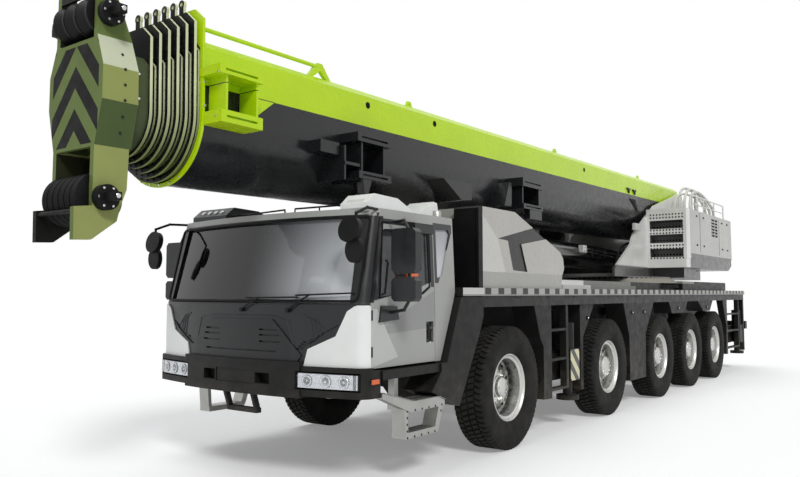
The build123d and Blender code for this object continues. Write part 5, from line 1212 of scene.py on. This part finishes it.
def make_apron():
    """Folded rubber apron round the slewing cone."""
    piece = Piece("slewing_apron", "chassis")
    rings = []
    for z, radius in ((1.84, 1.26), (1.90, 1.25), (2.00, 1.14), (2.035, 1.12)):
        ring = []
        for k, turn in enumerate(turns_of(2 * APRON_FLUTES)):
            reach = radius - (APRON_DEPTH if k % 2 else 0.0)
            ring.append((reach * math.cos(turn), behind(SLEWING_STATION) + reach * math.sin(turn), z))
        rings.append(ring)
    piece.sweep(rings, "seal")
    piece.make()


# ---------------------------------------------------------------- deck and sides

def make_side_fittings():
    """Bolts along both sides."""
    piece = Piece("side_fittings", "chassis")
    for side in (1, -1):
        for station, z in ((2.36, 1.40), (4.0, 1.44), (4.55, 1.44), (6.42, 1.47), (8.35, 1.47)):
            place = from_side("side_frames", side, station, z)
            if place:
                piece.studs([place], 0.030, 0.012, "iron", (side, 0, 0), 20)
                piece.studs([place + Vector((side * 0.012, 0, 0))], 0.013, 0.010, "steel", (side, 0, 0))
        for station in spread(0.2, 10.6, 14):
            start = (side * OUTSIDE, behind(station), 1.69)
            side_bolt(piece, "deck", side, start, 0.010, 0.006, "iron")
    piece.make()


def make_step_treads():
    """Raised tread bars and holes on the cab's steps."""
    piece = Piece("step_treads", "chassis")
    low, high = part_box("cab_steps")
    for side in (1, -1):
        for k in range(26):
            y = low[1] + 0.02 + (high[1] - low[1] - 0.04) * k / 25
            for x in (1.30, 1.40, 1.46):
                place, facing = touch("cab_steps", (side * x, y, 2.0), (0, 0, -1))
                if place and facing.z > 0.9 and place.z < 1.0:
                    piece.block((side * x - 0.022, y - 0.006, place.z - 0.003),
                                (side * x + 0.022, y + 0.006, place.z + 0.004), "alloy", edge=0.001)
        for z in spread(0.42, 0.66, 5):
            for y in spread(low[1] + 0.05, high[1] - 0.05, 9):
                place, facing = touch("cab_steps", (side * OUTSIDE, y, z), (-side, 0, 0))
                if place and abs(facing.x) > 0.8:
                    piece.hole(place, facing, 0.011, 0.003, 0.001, 10)
    piece.make()


def make_nose_vents():
    """Nested corner vents and bars that stand out of the dark nose."""
    piece = Piece("nose_vents", "chassis")

    def line(points, radius):
        whole = []
        for (x0, z0), (x1, z1) in zip(points, points[1:]):
            whole += [(x0 + (x1 - x0) * k / 5, z0 + (z1 - z0) * k / 5) for k in range(5)]
        whole.append(points[-1])
        piece.tube([(x, nose_y(x, z) + 0.002, z) for x, z in whole], radius, "nose", 8)

    for side in (1, -1):
        for k in range(4):
            step = 0.042 * k
            bent = ((0.80 + step, 1.545 - step * 0.25), (0.865 + step, 1.50 - step * 0.35),
                    (0.90 + step, 1.33 + step * 0.72), (0.84 + step * 1.5, 1.29 + step * 0.9))
            line([(side * x, z) for x, z in bent], 0.0085)
        for z, x0, x1 in ((1.425, 0.20, 0.50), (1.372, 0.20, 0.53), (1.319, 0.20, 0.56), (1.266, 0.20, 0.60)):
            line([(side * x0, z), (side * x1, z)], 0.009)
    line([(-0.70, 1.19), (-0.60, 1.50), (-0.42, 1.535), (0.42, 1.535), (0.60, 1.50), (0.70, 1.19)], 0.007)
    piece.make()


# Hose: name, diameter, length, and its route in (x, station, height).
HOSES = (
    ("feed_hose_1", 0.040, 1.2, (
        (0.606, 6.8, 2.72), (0.53, 6.8, 2.72), (0.47, 6.73, 2.715), (0.44, 6.52, 2.67), (0.44, 6.3, 2.57),
        (0.45, 6.12, 2.43), (0.46, 6.01, 2.29), (0.46, 6, 2.19), (0.46, 6, 2.108))),
    ("feed_hose_2", 0.040, 0.84, (
        (0.606, 6.6, 2.6), (0.53, 6.6, 2.6), (0.48, 6.54, 2.595), (0.47, 6.4, 2.55), (0.48, 6.27, 2.45),
        (0.51, 6.17, 2.33), (0.53, 6.14, 2.22), (0.53, 6.14, 2.108))),
    ("winch_hose_1", 0.056, 2.21, (
        (0.8, 8.95, 3.392), (0.8, 8.95, 3.6), (0.8, 8.98, 3.8), (0.8, 9.1, 3.98), (0.81, 9.36, 4.06),
        (0.85, 9.68, 4.04), (0.91, 9.98, 3.93), (0.97, 10.22, 3.75), (1, 10.33, 3.57), (1, 10.34, 3.392))),
    ("winch_hose_2", 0.056, 2.07, (
        (0.93, 8.88, 3.392), (0.93, 8.88, 3.58), (0.93, 8.91, 3.76), (0.93, 9.03, 3.92), (0.94, 9.28, 4.01),
        (0.98, 9.58, 3.99), (1.04, 9.87, 3.87), (1.09, 10.1, 3.71), (1.12, 10.2, 3.55),
        (1.12, 10.21, 3.392))),
    ("winch_hose_3", 0.056, 1.89, (
        (1.06, 8.81, 3.392), (1.06, 8.81, 3.56), (1.06, 8.84, 3.72), (1.06, 8.96, 3.86), (1.07, 9.2, 3.94),
        (1.11, 9.48, 3.92), (1.16, 9.75, 3.81), (1.21, 9.96, 3.67), (1.23, 10.06, 3.54),
        (1.23, 10.07, 3.392))),
    ("winch_hose_4", 0.044, 1.83, (
        (0.75, 8.78, 3.392), (0.75, 8.78, 3.56), (0.76, 8.8, 3.73), (0.8, 8.9, 3.86), (0.87, 9.12, 3.9),
        (0.97, 9.4, 3.86), (1.07, 9.68, 3.76), (1.15, 9.87, 3.64), (1.18, 9.93, 3.52), (1.18, 9.93, 3.392))),
    ("winch_hose_5", 0.044, 1.66, (
        (1.17, 8.98, 3.392), (1.17, 8.98, 3.56), (1.16, 9, 3.72), (1.12, 9.1, 3.83), (1.05, 9.32, 3.85),
        (0.96, 9.58, 3.8), (0.89, 9.82, 3.71), (0.86, 9.98, 3.61), (0.85, 10.03, 3.5), (0.85, 10.03, 3.392))),
)


def make_hoses():
    """Hydraulic hoses beside the derricking cylinder and over the hood, each riding on the upper body."""
    for name, diameter, length, route in HOSES:
        data = bpy.data.curves.new(name, "CURVE")
        data.dimensions = "3D"
        data.bevel_depth = diameter / 2
        data.bevel_resolution = 4
        data.resolution_u = 12
        spline = data.splines.new("NURBS")
        spline.points.add(len(route) - 1)
        for point, (x, station, z) in zip(spline.points, route):
            point.co = (x, behind(station), z, 1.0)
        spline.order_u = 3
        spline.use_endpoint_u = True
        look = "hose_white" if name.startswith("winch") else "seal"
        data.materials.append(LOOKS[look].material)
        hose = bpy.data.objects.new(name, data)
        bpy.context.scene.collection.objects.link(hose)
        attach(hose, "upper")
        x, station, z = route[0]
        behind(station)


def make_hose_ends():
    """End fittings of the hoses."""
    piece = Piece("hose_fittings", "upper")
    for _, diameter, _, route in HOSES:
        for end, inner in ((route[0], route[1]), (route[-1], route[-2])):
            here = Vector((end[0], behind(end[1]), end[2]))
            run = (Vector((inner[0], behind(inner[1]), inner[2])) - here).normalized()
            piece.tube([here - run * 0.004, here + run * 0.075], diameter * 0.62, "alloy", 12)
            piece.tube([here - run * 0.004, here + run * 0.022], diameter * 0.90, "steel", 6)
    piece.make()


RAIL_X = 1.30
RAIL_HEIGHT = 0.34
RAY_TOP = 4.2


def make_handrails():
    """Handrails along both hoods' tops."""
    rail = Piece("hood_handrail", "upper")
    for side in (1, -1):
        top = []
        for station in (8.10, 8.95, 9.80, 10.60):
            start = (side * RAIL_X, behind(station), RAY_TOP)
            foot, _ = touch("tail_hoods", start, (0, 0, -1))
            post = [(*start[:2], foot.z - 0.01), (*start[:2], foot.z + RAIL_HEIGHT)]
            rail.tube(post, 0.014, "white", 10)
            rail.lathe([(-0.002, 0.035), (0.008, 0.035), (0.010, 0.02)], "white",
                       Matrix.Translation(post[0]) @ Matrix.Rotation(-math.pi / 2, 4, "Y"), 16)
            top.append(post[1])
        rail.tube(top, 0.016, "white", 10)
        rail.tube([(x, y, z - 0.17) for x, y, z in top], 0.012, "white", 10)
    rail.make()


# Fall of the hard pipes in each metre back.
PIPE_FALL = 0.178 / 1.7 * 0.35


def make_cylinder_fittings():
    """Valve block on the derricking cylinder with the hard pipes clipped along it."""
    piece = Piece("cylinder_valve", "cylinder_barrel")
    piece.block((0.190, behind(4.94), 2.455), (0.285, behind(5.10), 2.590), "white", edge=0.008)
    bolts = [(0.285, behind(station), z) for station, z in ((4.98, 2.49), (5.06, 2.49), (5.02, 2.55))]
    piece.studs(bolts, 0.014, 0.012, "steel")
    for z in (2.485, 2.545):
        run = [(0.225, behind(station), z - PIPE_FALL * (station - 5.08)) for station in
               (5.09, 5.5, 6.0, 6.5, 6.9)]
        piece.tube(run, 0.012, "steel", 8)
    for station in (5.45, 6.05, 6.65):
        piece.block((0.195, behind(station) - 0.02, 2.40), (0.245, behind(station) + 0.02, 2.56), "plastic")
    piece.make()


def make_mirror_repeaters():
    """Amber repeaters between the mirror heads."""
    for (side, word), name in zip(SIDES, ("mirror_repeaters", "mirror_repeater_right")):
        piece = Piece(name, "door_" + word)
        inner, outer = sorted((side * 1.400, side * 1.470))
        piece.block((inner, behind(-1.905), 1.893), (outer, behind(-1.785), 1.975), "amber", edge=0.006)
        piece.make()


def make_beam_reflectors():
    """Striped reflective plate on the end of each front outrigger beam."""
    for side, word in SIDES:
        node = "outrigger_beam_front_" + word
        piece = Piece("beam_reflector_" + word, node)
        low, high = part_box(node)
        front, rear = low[1] + 0.012, high[1] - 0.012
        place, _ = touch(node, (side * OUTSIDE, (front + rear) / 2, 0.80), (-side, 0, 0))
        faces = sorted((place.x - 0.002 * side, place.x + 0.005 * side))
        piece.block((faces[0], front, 0.60), (faces[1], rear, 1.00), "reflector", edge=0.001)
        bolts = [(place.x + 0.005 * side, y, z) for y in (front + 0.02, rear - 0.02) for z in (0.615, 0.985)]
        piece.studs(bolts, 0.006, 0.003, "steel", (side, 0, 0))
        piece.make()


bpy.context.scene.view_settings.view_transform = "Standard"
set_camera()
set_world()
add_floor()
add_sun("key", (12.0, -9.0, 12.0), (0.0, 0.0, 0.0), 14.0, 1.45)
add_sun("top", (-3.0, -2.0, 14.0), (0.0, 0.0, 0.0), 40.0, 0.8)
dress_frame()
make_wheels()
make_headlamps()
make_wipers()
make_windscreen_seal()
make_roof_fittings()
make_door_fittings()
make_collar_bolts()
make_boom_marks()
make_head_fittings()
make_stair_holes()
make_hood_details()
make_apron()
make_side_fittings()
make_step_treads()
make_nose_vents()
make_hoses()
make_hose_ends()
make_handrails()
make_cylinder_fittings()
make_mirror_repeaters()
make_beam_reflectors()
